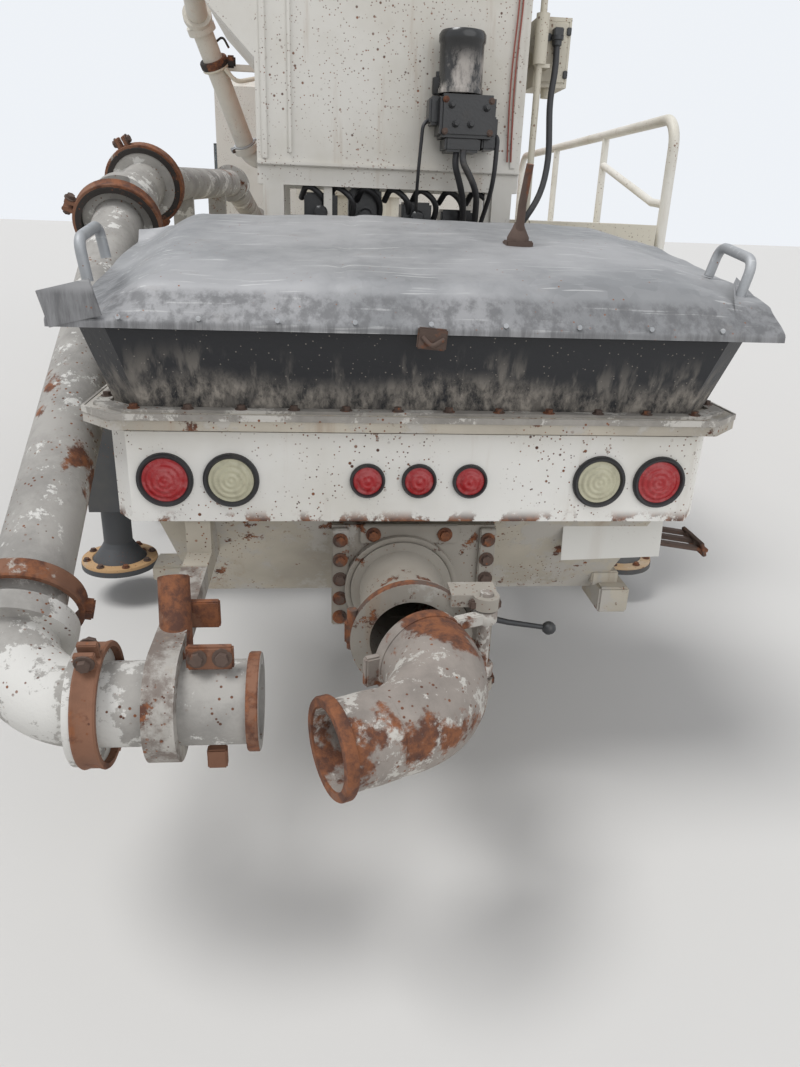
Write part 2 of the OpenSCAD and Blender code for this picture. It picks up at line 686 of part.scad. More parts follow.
// Hopper outlines: side view, rear view and plan, each inset by t.
hopper_rear_s = 20;
rear_knee_s = 45;
rear_knee_z = 950;
rear_floor_s = 290;
module hopper_side(t) {
  top = rim_z + (t > 0 ? 1 : 0);
  polygon([[hopper_rear_s + t, top], [rear_knee_s + t, rear_knee_z], [rear_floor_s + t, hopper_z + t],
    [hopper_front_s - 120 - t, hopper_z + t], [hopper_front_s - t, hopper_z + 150], [hopper_front_s - t, top]]);
}
module hopper_rear(t) {
  polygon([[-floor_hw + t, hopper_z - 1], [floor_hw - t, hopper_z - 1], [rim_hw - 85 - t, rim_z + 2],
    [-rim_hw + 85 + t, rim_z + 2]]);
}
module hopper_form(t) {
  intersection() {
    slab_x(-rim_hw, rim_hw) hopper_side(t);
    slab_y(-10, hopper_front_s + 10) hopper_rear(t);
  }
}
flange_s = -60;
module rim_plan(o, front = hopper_front_s + 80) {
  polygon([[-rim_hw + 80 - o, flange_s - o], [rim_hw - 80 + o, flange_s - o], [rim_hw + o, 20 - o],
    [rim_hw + o, front + o], [-rim_hw - o, front + o], [-rim_hw - o, 20 - o]]);
}
pump_lane = 165;
pump_z = 820;
grate_z = rim_z - 100;
agitator_s = 480;
agitator_z = 860;
agitator_shaft_d = 60;
module hopper_body() color(c_cream) truck() {
  difference() {
    union() {
      difference() {
        hopper_form(0);
        hopper_form(hopper_t);
      }
      translate([0, 0, rim_z - 35]) linear_extrude(35) difference() {
        rim_plan(0);
        rim_plan(-100);
      }
      intersection() {
        both_sides() bar_x(150, rim_hw - 175, rim_hw - 60, agitator_s, agitator_z);
        box(-rim_hw, rim_hw, 0, hopper_front_s, hopper_z, rim_z);
      }
      both_sides() bar_y(240, pump_lane, hopper_front_s - 1, hopper_front_s + 25, pump_z);
      for (s = [38, hopper_front_s - 50]) box(-620, 620, s, s + 38, grate_z - 12, grate_z);
    }
    bar_x(agitator_shaft_d + 2*fit, -rim_hw - 1, rim_hw + 1, agitator_s, agitator_z);
    translate([-outlet_x, 0, outlet_z]) rotate([-90, 0, 0]) cylinder(d = outlet_d - 20, h = 500);
    both_sides() bar_y(180, pump_lane, hopper_front_s - 60, hopper_front_s + 60, pump_z);
  }
  both_sides() {
    box(rail_in + rail_t, rail_x - rail_t, hopper_front_s, frame_rear_s + 60, frame_bot + 60, frame_top - rail_t - 2);
  }
  cover_brackets();
  line_bracket();
}

// Posts at the hopper's front that carry the cover's hinge pin.
hinge_s = hopper_front_s + 45;
cover_front_s = hinge_s - 35;
hinge_pin_d = 24;
module cover_brackets() {
  for (x = [-600, 0, 600]) {
    box(x - 15, x + 15, collar_front_s + 1, hinge_s + 25, rim_z - 1, cover_hinge_z - 20);
    bar_x(44, x - 15, x + 15, hinge_s, cover_hinge_z);
    bar_x(hinge_pin_d, x - 50, x + 50, hinge_s, cover_hinge_z);
  }
  both_sides() box(300, 330, 22, 38, rim_z - 1, ridge_z - cover_t - 1);
}

collar_front_s = hopper_front_s + 30;
// Rubber collar that widens upward from the hopper's rim.
module collar_form(o) {
  hull() {
    translate([0, 0, rim_z + touch - (o < 0 ? 1 : 0)]) linear_extrude(1) rim_plan(o - 60, collar_front_s);
    translate([0, 0, rim_z + collar_h + (o < 0 ? 1 : 0)]) linear_extrude(1) rim_plan(o - 8, collar_front_s - 40);
  }
}
module hopper_collar() color(c_rubber) truck() difference() {
  collar_form(0);
  collar_form(-collar_t);
}

// Bent lamp panel with its stays to the hopper.
panel_end = 43;
module panel_plan() {
  difference() {
    polygon([[-panel_hw - panel_end, panel_end*1.3], [-panel_hw, 0], [panel_hw, 0],
      [panel_hw + panel_end, panel_end*1.3], [panel_hw + panel_end - panel_t, panel_end*1.3],
      [panel_hw - 2, panel_t], [-panel_hw + 2, panel_t], [-panel_hw - panel_end + panel_t, panel_end*1.3]]);
  }
}
module lamp_panel() color(c_white) truck() {
  difference() {
    translate([0, 0, panel_z]) linear_extrude(panel_h) panel_plan();
    for (l = rear_lamps) translate([l[0], 0, lamp_z]) rotate([90, 0, 0])
      cylinder(d = lamp_d(l[1]) - 2*lamp_neck + 2*touch, h = 60, center = true);
  }
  difference() {
    for (x = [-540, -300, 300, 540]) box(x - 4, x + 4, panel_t, rear_knee_s, panel_z + 190, panel_z + panel_h);
    hopper_clear();
  }
}

// Grate bars across the hopper under the cover.
module hopper_grate() color(c_dark) truck() {
  x1 = rim_hw - 120;
  for (x = [-x1 + 30 : (2*x1 - 60)/14 : x1 - 29]) box(x - 5, x + 5, 60, hopper_front_s - 30, grate_z + 15, grate_z + 40);
  for (s = [60, 330, 600, hopper_front_s - 42]) box(-x1, x1, s, s + 12, grate_z, grate_z + 15);
}

// Valve housing with the outlet neck and the hinge lugs of the swing elbow.
house_hw = 212;
module outlet_housing() color(c_grey) truck() {
  difference() {
    union() {
      slab_y(60, rear_floor_s) polygon([[-house_hw, 880], [house_hw, 880], [house_hw - 40, 575], [-house_hw + 40, 575]]);
      bar_y(outlet_d, -outlet_x, -outlet_back, 61, outlet_z);
      bar_y(ring_d - 20, -outlet_x, 30, 61, outlet_z);
      bar_y(ring_d, -outlet_x, -outlet_back, -outlet_back + flange_t, outlet_z);
      for (z = [lug_z0, lug_z1 - 30]) {
        translate([pin_x, pin_s, z]) cylinder(d = 60, h = 30);
        box(pin_x - 80, pin_x + 28, pin_s, -outlet_back + flange_t + 30, z, z + 30);
      }
      box(pin_x - 60, pin_x + 28, -outlet_back + flange_t, -outlet_back + flange_t + 30, lug_z0, lug_z1);
    }
    bar_y(outlet_d - 24, -outlet_x, -outlet_back - 1, rear_floor_s + 1, outlet_z);
    hopper_clear();
    translate([pin_x, pin_s, 0]) cylinder(d = pin_d + 2*fit, h = 2000);
  }
}
// The space of the hopper itself, kept free by what is bolted to its rear.
module hopper_clear() {
  slab_x(-rim_hw, rim_hw) polygon([[hopper_rear_s - touch, rim_z + 1], [rear_knee_s - touch, rear_knee_z],
    [rear_floor_s - touch, hopper_z], [rear_floor_s - touch, hopper_z - 100], [hopper_front_s, hopper_z - 100],
    [hopper_front_s, rim_z + 1]]);
}

// Reducing elbow on a hinge pin; drawn closed, then swung open by elbow_open.
function lerp(a, b, t) = a + (b - a)*t;
module bent_cone(r, d0, d1, n = 12, k = 28) {
  ring = function(t) [for (j = [0 : k - 1]) let (a = 90*t, q = lerp(d0, d1, t)/2, u = 360*j/k)
    [-r + (r + q*cos(u))*cos(a), -(r + q*cos(u))*sin(a), q*sin(u)]];
  pts = [for (i = [0 : n]) each ring(i/n)];
  faces = concat([[for (j = [0 : k - 1]) j]],
    [for (i = [0 : n - 1], j = [0 : k - 1]) [i*k + j, (i + 1)*k + (j + 1)%k, i*k + (j + 1)%k]],
    [for (i = [0 : n - 1], j = [0 : k - 1]) [i*k + j, (i + 1)*k + j, (i + 1)*k + (j + 1)%k]],
    [[for (j = [0 : k - 1]) n*k + k - 1 - j]]);
  polyhedron(pts, faces);
}
module outlet_elbow() color(c_rust) truck()
  translate([pin_x, pin_s, 0]) rotate([0, 0, elbow_open]) translate([-pin_x, -pin_s, 0]) {
    y0 = -outlet_back - elbow_gap;
    y1 = y0 - flange_t;
    difference() {
      union() {
        bar_y(outlet_d + 10, -outlet_x, y1, y0, outlet_z);
        translate([-outlet_x, y1, outlet_z]) bent_cone(elbow_r, outlet_d, pipe_d);
        bar_x(pipe_d + 6, elbow_end_x + 12, -outlet_x - elbow_r + 6, y1 - elbow_r, outlet_z);
        bar_x(flange_d, elbow_end_x, elbow_end_x + 24, y1 - elbow_r, outlet_z);
        for (z = [lug_z0 + 35, lug_z1 - 65]) {
          translate([pin_x, pin_s, z]) cylinder(d = 56, h = 30);
          box(40, pin_x + 2, y1, y0, z, z + 30);
        }
      }
      bar_y(outlet_d - 22, -outlet_x, y1 - 1, y0 + 1, outlet_z);
      translate([-outlet_x, y1, outlet_z]) bent_cone(elbow_r, outlet_d - 24, pipe_d - 2*pipe_t);
      bar_x(pipe_d - 2*pipe_t + 2, elbow_end_x - 1, -outlet_x - elbow_r + 1, y1 - elbow_r, outlet_z);
    }
    translate([pin_x, pin_s, lug_z0 - 8]) cylinder(d = pin_d, h = lug_z1 - lug_z0 + 16);
  }

// Delivery line: lower elbow, rising pipe beside the hopper, then along the deck.
line_path = [[elbow_end_x - 12, line_y, outlet_z], [-860, line_y, outlet_z], [-947, 1290, 1590],
  [-925, 1640, 1690]];
clamp_d = 238;
deck_path = [line_path[3], [-760, 3300, 1743], [-760, slew_s, 1500], [-300, slew_s, 1500]];
module delivery_pipe() color(c_grey) truck() {
  pipe_line(line_path, 180, pipe_d, pipe_t, clamp_d);
  ring(line_path[0] + 11*dir(line_path, 0), dir(line_path, 0), flange_d, pipe_d - 2, 22);
  ring(line_path[3], dir(line_path, 2), clamp_d, line_d - 4*pipe_t, joint_l);
  pipe_line(deck_path, 160, line_d, pipe_t, flange_d);
  for (s = [2200, 2900]) pipe_stand(s);
}
module pipe_stand(s) {
  t = (s - deck_path[0][1])/(deck_path[1][1] - deck_path[0][1]);
  p = lerp(deck_path[0], deck_path[1], t);
  difference() {
    box(p[0] - 45, p[0] + 45, s - 20, s + 20, deck_z, p[2] - 10);
    rod(p - [0, 60, 2], p + [0, 60, 2], line_d - 4);
  }
}

// Clamp and arm that hold the end of the short pipe at the hopper.
clamp_x = -540;
module line_bracket() {
  difference() {
    union() {
      bar_x(230, clamp_x - 30, clamp_x + 30, line_y, outlet_z);
      box(clamp_x - 30, clamp_x + 30, line_y, rear_knee_s + 70, outlet_z + 60, outlet_z + 115);
      box(clamp_x - 30, clamp_x + 30, panel_t + 8, rear_knee_s + 130, outlet_z + 60, 935);
    }
    bar_x(pipe_d + 2*touch, clamp_x - 60, clamp_x + 60, line_y, outlet_z);
    hopper_clear();
  }
  box(clamp_x - 20, clamp_x + 20, rear_knee_s, rear_knee_s + 40, rear_knee_z - 16, rear_knee_z + 10);
}

// Two delivery cylinders, the water box between, and their drive cylinders.
slope = 11;
module pump_cylinders() color(c_grey) truck() {
  front = hopper_front_s + 25;
  difference() {
    translate([0, front, pump_z]) rotate([slope, 0, 0]) {
      for (x = [-pump_lane, pump_lane]) {
        bar_y(205, x, -60, 1250, 0);
        bar_y(150, x, 1599, 2850, 0);
        bar_y(178, x, 2800, 2880, 0);
      }
      difference() {
        box(-290, 290, 1240, 1600, -140, 130);
        box(-278, 278, 1252, 1588, -128, 131);
      }
    }
    both_sides() box(289, rail_in, front + 1330, front + 1430, frame_top + 15, sub_top - 10);
    translate([0, front, pump_z]) rotate([slope, 0, 0])
      for (x = [-pump_lane, pump_lane]) bar_y(180, x, -70, 1200, 0);
    box(-400, 400, front - 200, front + touch, pump_z - 300, pump_z + 300);
  }
}

// Sheet cover over the hopper, hinged at its front edge.
cover_rear_s = -90;
module cover_outline(t) {
  polygon([[cover_rear_s + t, 1380], [cover_rear_s + t, 1392], [0 + t, ridge_z - t], [500, 1545 - t],
    [cover_front_s - 28, cover_top_z - t], [cover_front_s - t, cover_top_z - 25],
    [cover_front_s - t, 1380]]);
}
module hopper_cover() color(c_zinc) truck() {
  difference() {
    slab_x(-cover_hw, cover_hw) cover_outline(0);
    slab_x(-cover_hw + cover_t, cover_hw - cover_t) cover_outline(cover_t);
    box(-cover_hw - 1, cover_hw + 1, cover_rear_s - 1, cover_front_s + 1, 1370, 1381);
  }
  for (x = [-600, 0, 600], i = [-1, 1]) difference() {
    union() {
      bar_x(46, x + i*33 - 12, x + i*33 + 12, hinge_s, cover_hinge_z);
      box(x + i*33 - 12, x + i*33 + 12, cover_front_s - 2, hinge_s, cover_hinge_z - 12, cover_hinge_z + 12);
    }
    bar_x(hinge_pin_d + 2*fit, x - 60, x + 60, hinge_s, cover_hinge_z);
  }
  both_sides() cornered_bar([[cover_hw - 60, 60, 1478], [cover_hw - 60, 60, 1540], [cover_hw - 60, 230, 1565],
    [cover_hw - 60, 230, 1500]], 26);
  rod([297, 470, 1540], [297, 470, 1740], 22);
  bar_x(30, 270, 324, 470, 1740);
  box(-45, 45, cover_rear_s - 12, cover_rear_s, 1381, 1392);
}

// Shaft with paired paddles that stirs the hopper.
module agitator() color(c_dark) truck() {
  bar_x(agitator_shaft_d, -rim_hw + 40, rim_hw - 40, agitator_s, agitator_z);
  for (x = [-420, -180, 180, 420]) translate([x, agitator_s, agitator_z]) {
    rotate([x > 0 ? 35 : -35, 0, 0]) {
      box(-12, 12, -20, 20, -185, 90);
      translate([0, 0, -150]) rotate([0, 0, 25]) box(-70, 70, -10, 10, -40, 30);
    }
  }
}

// Door skin with its window cut, hinge eyes at the front edge.
module door_panel() truck() {
  difference() {
    slab_x(cab_w/2 - cab_t, cab_w/2) door_outline(door_gap);
    slab_x(cab_w/2 - cab_t - 1, cab_w/2 + 1) door_window(80);
    box(cab_w/2 - cab_t - 1, cab_w/2 - 14, door_s0 + 80, door_s1 - 120, door_z0 + 90, 1840);
  }
  box(cab_w/2, cab_w/2 + 28, door_s0 + 60, door_s0 + 220, 1790, 1815);
  for (z = hinge_zs, i = [-1, 1]) difference() {
    union() {
      translate([hinge_x, hinge_y, z + 26*i - 9]) cylinder(d = knuckle_d, h = 18);
      box(cab_w/2, cab_w/2 + 9, hinge_y - 68, hinge_y, z + 26*i - 9, z + 26*i + 9);
    }
    translate([hinge_x, hinge_y, z - 60]) cylinder(d = 12 + 2*fit, h = 120);
  }
}
module door_pane() truck()
  slab_x(cab_w/2 - 24, cab_w/2 - 24 + glass_t) door_window(80 + touch);
module door_right() color(c_white) door_panel();
module door_left() color(c_white) mirror([1, 0, 0]) door_panel();
module door_glass_right() color(c_glass) door_pane();
module door_glass_left() color(c_glass) mirror([1, 0, 0]) door_pane();

// Turret on the slewing ring, leaning back to the lift pivot, with the riser pipe.
ring_gap = 0.5;
turret_z = pedestal_top + ring_gap;
plate_x = arm1_w/2 + 8;
plate_t = 34;
// Room between the turret's plates and the cab as they pass it.
swing_gap = 40;
lift_foot_s = 4000;
lift_foot_z = 2200;
lift_eye_s = 5300;
lift_eye_z = 2800;
arm1_pipe_x = -590;
arm2_pipe_x = -330;
pipe_bend = 120;
riser_path = [[-300, slew_s - 40, 1960], [-790, slew_s - 40, 1960], [-1078, 4630, 2786],
  [-1040, lift_s, lift_z], [-810, lift_s, lift_z]];
module turret_plate() {
  difference() {
    union() {
      polygon([[slew_s + 330, turret_z + 180], [slew_s + 330, turret_z + 420], [lift_s + 120, lift_z + 175],
        [lift_s - 175, lift_z - 90], [2*slew_s - cab_rear_s + swing_gap, roof_z + 30],
        [lift_foot_s - 95, lift_foot_z - 60], [slew_s - 380, turret_z + 180]]);
      translate([lift_s, lift_z]) circle(210);
      translate([lift_foot_s, lift_foot_z]) circle(120);
    }
  }
}
module turret() color(c_orange) truck() {
  translate([0, slew_s, turret_z]) difference() {
    union() {
      cylinder(d = pedestal_d + 120, h = 50);
      cylinder(d = pedestal_d - 40, h = 180);
    }
    translate([0, 0, -1]) cylinder(d = 260, h = 120);
  }
  both_sides() slab_x(plate_x, plate_x + plate_t) turret_plate();
  box(-plate_x - 1, plate_x + 1, slew_s + 250, slew_s + 290, turret_z + 180, turret_z + 400);
  box(-plate_x - 1, plate_x + 1, slew_s - 330, slew_s - 290, turret_z + 180, turret_z + 260);
  bar_x(90, -plate_x - plate_t - 12, plate_x + plate_t + 12, lift_s, lift_z);
  bar_x(70, -plate_x - plate_t - 10, plate_x + plate_t + 10, lift_foot_s, lift_foot_z);
  pipe_line(riser_path, pipe_bend, line_d, pipe_t, flange_d);
  box(-927, -plate_x, 4745, 4785, 2510, 2550);
}

// Side outline of a boom section between two heights at each end.
module arm_box(s0, s1, z00, z01, z10, z11) {
  polygon([[s0, z00], [s1, z10], [s1, z11], [s0, z01]]);
}
eye1_r = 120;
eye2_r = 90;
pin2_d = 80;
pin3_d = 70;
arm2_lo = 3390;
arm2_hi = 3670;
arm3_lo = 3765;
arm3_hi = 3960;
module pipe_bracket(x0, x1, s, z) {
  box(min(x0, x1), max(x0, x1), s - 25, s + 25, z - 22, z + 22);
}
function line_z(a, b, s) = lerp(a[2], b[2], (s - a[1])/(b[1] - a[1]));

module boom_arm_1() color(c_orange) truck() {
  w = arm1_w/2;
  g = 170;
  difference() {
    union() {
      slab_x(-w, w) {
        polygon([[lift_s, lift_z - 185], [lift_s + 1500, 2945], [fold2_s - g, 3040], [fold2_s - g, 3290],
          [lift_s + 900, 3320], [lift_s, lift_z + 185]]);
        translate([lift_s, lift_z]) circle(185);
      }
      for (i = [-1, 1]) slab_x(i > 0 ? w - fork_t : -w, i > 0 ? w : -w + fork_t) {
        polygon([[fold2_s - g - 300, 3100], [fold2_s - 60, 3100], [fold2_s + eye1_r, fold2_z],
          [fold2_s - 100, fold2_z + 70], [fold2_s - g - 300, 3280]]);
        translate([fold2_s, fold2_z]) circle(eye1_r);
      }
      for (i = [-1, 1]) slab_x(i > 0 ? 60 : -85, i > 0 ? 85 : -60) polygon([[lift_eye_s - 190, 2990],
        [lift_eye_s - 60, lift_eye_z - 60], [lift_eye_s + 60, lift_eye_z - 60], [lift_eye_s + 190, 2990]]);
    }
    bar_x(90 + 2*fit, -w - 1, w + 1, lift_s, lift_z);
    bar_x(pin2_d + 2*fit, -w - 1, w + 1, fold2_s, fold2_z);
  }
  bar_x(40, w - 1, w + 112, fold2_s - 1400, fold2_z - 180);
  a = [arm1_pipe_x, lift_s, lift_z];
  b = [arm1_pipe_x, fold2_s, fold2_z];
  pipe_line([[-800, lift_s, lift_z], a, b, [-465, fold2_s, fold2_z]], pipe_bend, line_d, pipe_t, flange_d);
  for (s = [4700, 6300, 7900]) pipe_bracket(arm1_pipe_x + line_d/2 - 6, -w + 1, s, line_z(a, b, s));
}

module boom_arm_2() color(c_orange) truck() {
  w = arm2_w/2;
  g = 130;
  difference() {
    union() {
      slab_x(-w, w) {
        polygon([[fold3_s + g, 3425], [fold2_s - 400, arm2_lo], [fold2_s + eye1_r, arm2_lo],
          [fold2_s + eye1_r, arm2_hi - 40], [fold2_s + 60, arm2_hi], [fold2_s - 400, arm2_hi], [fold3_s + g, 3650]]);
        polygon([[fold2_s - eye1_r, fold2_z], [fold2_s + eye1_r, fold2_z], [fold2_s + eye1_r, arm2_lo + 1],
          [fold2_s - eye1_r, arm2_lo + 1]]);
        translate([fold2_s, fold2_z]) circle(eye1_r);
      }
      for (i = [-1, 1]) slab_x(i > 0 ? w - fork_t : -w, i > 0 ? w : -w + fork_t) {
        polygon([[fold3_s + g + 260, 3480], [fold3_s + 40, 3480], [fold3_s - eye2_r, fold3_z],
          [fold3_s + 80, fold3_z + 50], [fold3_s + g + 260, 3640]]);
        translate([fold3_s, fold3_z]) circle(eye2_r);
      }
      bar_x(pin2_d, -arm1_w/2 - 16, arm1_w/2 + 26, fold2_s, fold2_z);
    }
    bar_x(pin3_d + 2*fit, -w - 1, w + 1, fold3_s, fold3_z);
  }
  lever(arm1_w/2 + 6, fold2_s, fold2_z, 1, pin2_d);
  bar_x(40, w - 1, w + 127, fold3_s + 1400, fold3_z - 180);
  a = [arm2_pipe_x, fold2_s, fold2_z];
  b = [arm2_pipe_x, fold3_s, fold3_z];
  pipe_line([[-455, fold2_s, fold2_z], a, b, [-455, fold3_s, fold3_z]], pipe_bend, line_d, pipe_t, flange_d);
  for (s = [4600, 6300, 8000]) pipe_bracket(arm2_pipe_x + line_d/2 - 6, -w + 1, s, line_z(a, b, s));
}

// Lever plate on the end of a fold pin; side is 1 forward or -1 rearward.
module lever(x, s, z, side, d) {
  ex = s + side*lever_r*cos(lever_a);
  ez = z + lever_r*sin(lever_a);
  slab_x(x, x + 20) {
    translate([s, z]) circle(d = d + 50);
    translate([ex, ez]) circle(lever_eye_r);
    translate([s, z]) rotate([0, 0, side > 0 ? lever_a : 180 - lever_a]) translate([0, -38]) square([lever_r, 76]);
  }
  bar_x(40, x + 19, x + 38, ex, ez);
}

module boom_arm_3() color(c_orange) truck() {
  w = arm3_w/2;
  slab_x(-w, w) {
    polygon([[fold3_s - eye2_r, arm3_lo], [tip_s, 3800], [tip_s, 3910], [fold3_s + 500, arm3_hi],
      [fold3_s - eye2_r + 30, arm3_hi], [fold3_s - eye2_r, arm3_hi - 40]]);
    polygon([[fold3_s - eye2_r, fold3_z], [fold3_s + eye2_r, fold3_z], [fold3_s + eye2_r, arm3_lo + 1],
      [fold3_s - eye2_r, arm3_lo + 1]]);
    translate([fold3_s, fold3_z]) circle(eye2_r);
  }
  bar_x(pin3_d, -arm2_w/2 - 16, arm2_w/2 + 26, fold3_s, fold3_z);
  lever(arm2_w/2 + 6, fold3_s, fold3_z, -1, pin3_d);
  a = [arm1_pipe_x, fold3_s, fold3_z];
  b = [arm1_pipe_x, tip_s + 60, 3860];
  pipe_line([[-465, fold3_s, fold3_z], a, b], pipe_bend, line_d, pipe_t, flange_d);
  ring(b - 12*dir([a, b], 0), dir([a, b], 0), line_d + 26, line_d - 2, 24);
  for (s = [4500, 6200, 7900]) pipe_bracket(arm1_pipe_x + line_d/2 - 6, -w + 1, s, line_z(a, b, s) + 15);
}

// Cylinder barrel from its foot toward the rod's eye; x is the cylinder's lane.
module barrel(foot, eye, x, d, length, rod_d, pin) {
  v = unit([0, eye[0] - foot[0], eye[1] - foot[1]]);
  f = [x, foot[0], foot[1]];
  difference() {
    union() {
      rod(f + v*d*0.3, f + v*length, d);
      bar_x(d*0.95, x - 25, x + 25, foot[0], foot[1]);
      rod(f + v*(length - 60), f + v*length, d + 14);
    }
    rod(f + v*120, f + v*(length + 1), rod_d + 2*fit);
    bar_x(pin + 2*fit, x - 60, x + 60, foot[0], foot[1]);
  }
}
module piston(foot, eye, x, rod_d, reach, eye_d, eye_w) {
  v = unit([0, eye[0] - foot[0], eye[1] - foot[1]]);
  e = [x, eye[0], eye[1]];
  difference() {
    union() {
      rod(e - v*reach, e - v*(eye_d*0.3), rod_d);
      bar_x(eye_d, x - eye_w/2, x + eye_w/2, eye[0], eye[1]);
    }
    bar_x(eye_d/2, x - eye_w, x + eye_w, eye[0], eye[1]);
  }
}
lift_foot = [lift_foot_s, lift_foot_z];
lift_eye = [lift_eye_s, lift_eye_z];
fold2_foot = [fold2_s - 1400, fold2_z - 180];
fold2_eye = [fold2_s + lever_r*cos(lever_a), fold2_z + lever_r*sin(lever_a)];
fold3_foot = [fold3_s + 1400, fold3_z - 180];
fold3_eye = [fold3_s - lever_r*cos(lever_a), fold3_z + lever_r*sin(lever_a)];
lane2 = arm1_w/2 + 80;
lane3 = arm2_w/2 + 95;
module lift_barrel() color(c_dark) truck() barrel(lift_foot, lift_eye, 0, 170, 1270, 100, 70);
module lift_rod() color(c_zinc) truck() piston(lift_foot, lift_eye, 0, 100, 1270, 130, 90);
module fold2_barrel() color(c_dark) truck() barrel(fold2_foot, fold2_eye, lane2, 104, 1080, 50, 40);
module fold2_rod() color(c_zinc) truck() piston(fold2_foot, fold2_eye, lane2, 50, 1200, rod_eye_d, 40);
module fold3_barrel() color(c_dark) truck() barrel(fold3_foot, fold3_eye, lane3, 104, 1080, 50, 40);
module fold3_rod() color(c_zinc) truck() piston(fold3_foot, fold3_eye, lane3, 50, 1200, rod_eye_d, 40);

// Sliding outrigger beam with the jack tube at its end.
module outrigger_beam() truck() {
  translate([0, front_jack_s, 0]) {
    difference() {
      box(15, jack_x - jack_tube/2, -beam_w/2, beam_w/2, beam_z - beam_h/2, beam_z + beam_h/2);
      box(14, jack_x - jack_tube/2 - 30, -beam_w/2 + 12, beam_w/2 - 12, beam_z - beam_h/2 + 12, beam_z + beam_h/2 - 12);
    }
    translate([jack_x, 0, 0]) jack_guide_tube();
  }
}
module outrigger_beam_right() color(c_cream) outrigger_beam();
module outrigger_beam_left() color(c_cream) mirror([1, 0, 0]) outrigger_beam();

// Jack leg: piston, cone and round foot plate.
module jack_leg(s) truck() translate([jack_x, s, 0]) rotate_extrude() polygon([[0, foot_z],
  [foot_d/2, foot_z], [foot_d/2, foot_z + 22], [110, foot_z + 34], [70, foot_z + 90],
  [jack_leg_d/2, foot_z + 110], [jack_leg_d/2, jack_top - 40], [0, jack_top - 40]]);
module jack_rear_right() color(c_dark) jack_leg(rear_jack_s);
module jack_rear_left() color(c_dark) mirror([1, 0, 0]) jack_leg(rear_jack_s);
module jack_front_right() color(c_dark) jack_leg(front_jack_s);
module jack_front_left() color(c_dark) mirror([1, 0, 0]) jack_leg(front_jack_s);

// Steering knuckle with its kingpin, two ears and the spindle, which reaches the wheel.
ear_d = 110;
spindle_l = kingpin_offset - 10;
module knuckle() truck() translate([kingpin_x, front_axle_s, axle_z]) {
  translate([0, 0, -115]) cylinder(d = 44, h = 230);
  for (z = [-114, 78]) translate([0, 0, z]) cylinder(d = ear_d, h = 36);
  difference() {
    box(0, 90, -50, 50, -114, 114);
    translate([0, 0, -78]) cylinder(d = 130, h = 156);
  }
  bar_x(spindle_d, 60, spindle_l, 0, 0);
  box(-20, 20, -190, -40, 90, 114);
}
module knuckle_right() color(c_dark) knuckle();
module knuckle_left() color(c_dark) mirror([1, 0, 0]) knuckle();

// Tyre section: two beads, bulged walls and a grooved crown; axis along x.
tyre_t = 22;
module tyre(x) translate([x, 0, 0]) rotate([0, 90, 0]) rotate_extrude() {
  h = tyre_w/2;
  inner = [[tyre_r - 30, 0], [tyre_r - 40, h - 45], [tyre_r - 75, h - tyre_t], [rim_r + 110, h - tyre_t],
    [rim_r + 40, h*0.72], [rim_r + touch, h*0.5], [rim_r + touch, h*0.72]];
  outer = [[rim_r + 45, h*0.86], [rim_r + 110, h - 2], [tyre_r - 90, h], [tyre_r - 40, h - 3],
    [tyre_r - 12, h*0.9], [tyre_r - 5, 94], [tyre_r - 14, 91], [tyre_r - 14, 83], [tyre_r - 3, 80],
    [tyre_r - 1, 52], [tyre_r - 12, 49], [tyre_r - 12, 41], [tyre_r, 38], [tyre_r, 10], [tyre_r - 9, 6]];
  mirror_both(concat(inner, outer));
}
// A closed outline from its upper half, whose first point lies on the middle line.
module mirror_both(half) {
  polygon(concat(half, [for (i = [len(half) - 1 : -1 : 1]) [half[i][0], -half[i][1]]]));
}
// Rim barrel with its flanges, and a dished disc to a mounting face at x = face.
module rim_barrel() rotate_extrude() {
  h = tyre_w/2;
  mirror_both([[rim_r - 40, 0], [rim_r - 40, h*0.35], [rim_r - 12, h*0.47],
    [rim_r - 12, h*0.84], [rim_r + 14, h*0.84], [rim_r + 14, h*0.78], [rim_r, h*0.76],
    [rim_r, h*0.44], [rim_r - 28, h*0.33]]);
}
module rim(face, side) {
  rotate([0, 90, 0]) {
    rim_barrel();
    difference() {
      rotate_extrude() polygon([[60, side*face], [165, side*face], [rim_r - 34, side*36],
        [rim_r - 34, side*20], [rim_r - 50, side*20], [150, side*(face - 16)], [60, side*(face - 16)]]);
      for (a = [0 : 45 : 315]) rotate([0, 0, a]) translate([208, 0, 0])
        cylinder(d = 52, h = 2*face, center = true);
    }
  }
}
hub_d = 230;
module front_wheel(x) translate([x, front_axle_s, axle_z]) {
  difference() {
    union() {
      rim(112, 1);
      bar_x(hub_d, -70, 96, 0, 0);
      bar_x(150, 90, 150, 0, 0);
    }
    bar_x(spindle_d + 2*fit, -71, 60, 0, 0);
  }
}
module rear_wheel() translate([rear_track, rear_axle_s, axle_z]) {
  difference() {
    union() {
      translate([-twin_pitch/2, 0, 0]) rim(twin_pitch/2, 1);
      translate([twin_pitch/2, 0, 0]) rim(twin_pitch/2, -1);
      bar_x(hub_d, -110, 90, 0, 0);
      bar_x(180, 80, 210, 0, 0);
    }
    bar_x(spindle_d + 2*fit, -111, 70, 0, 0);
  }
}
module tyre_front_right() color(c_rubber) truck() translate([0, front_axle_s, axle_z]) tyre(front_track);
module tyre_front_left() color(c_rubber) mirror([1, 0, 0]) tyre_front_right();
module tyre_rear_right() color(c_rubber) truck() translate([rear_track, rear_axle_s, axle_z]) {
  tyre(-twin_pitch/2);
  tyre(twin_pitch/2);
}
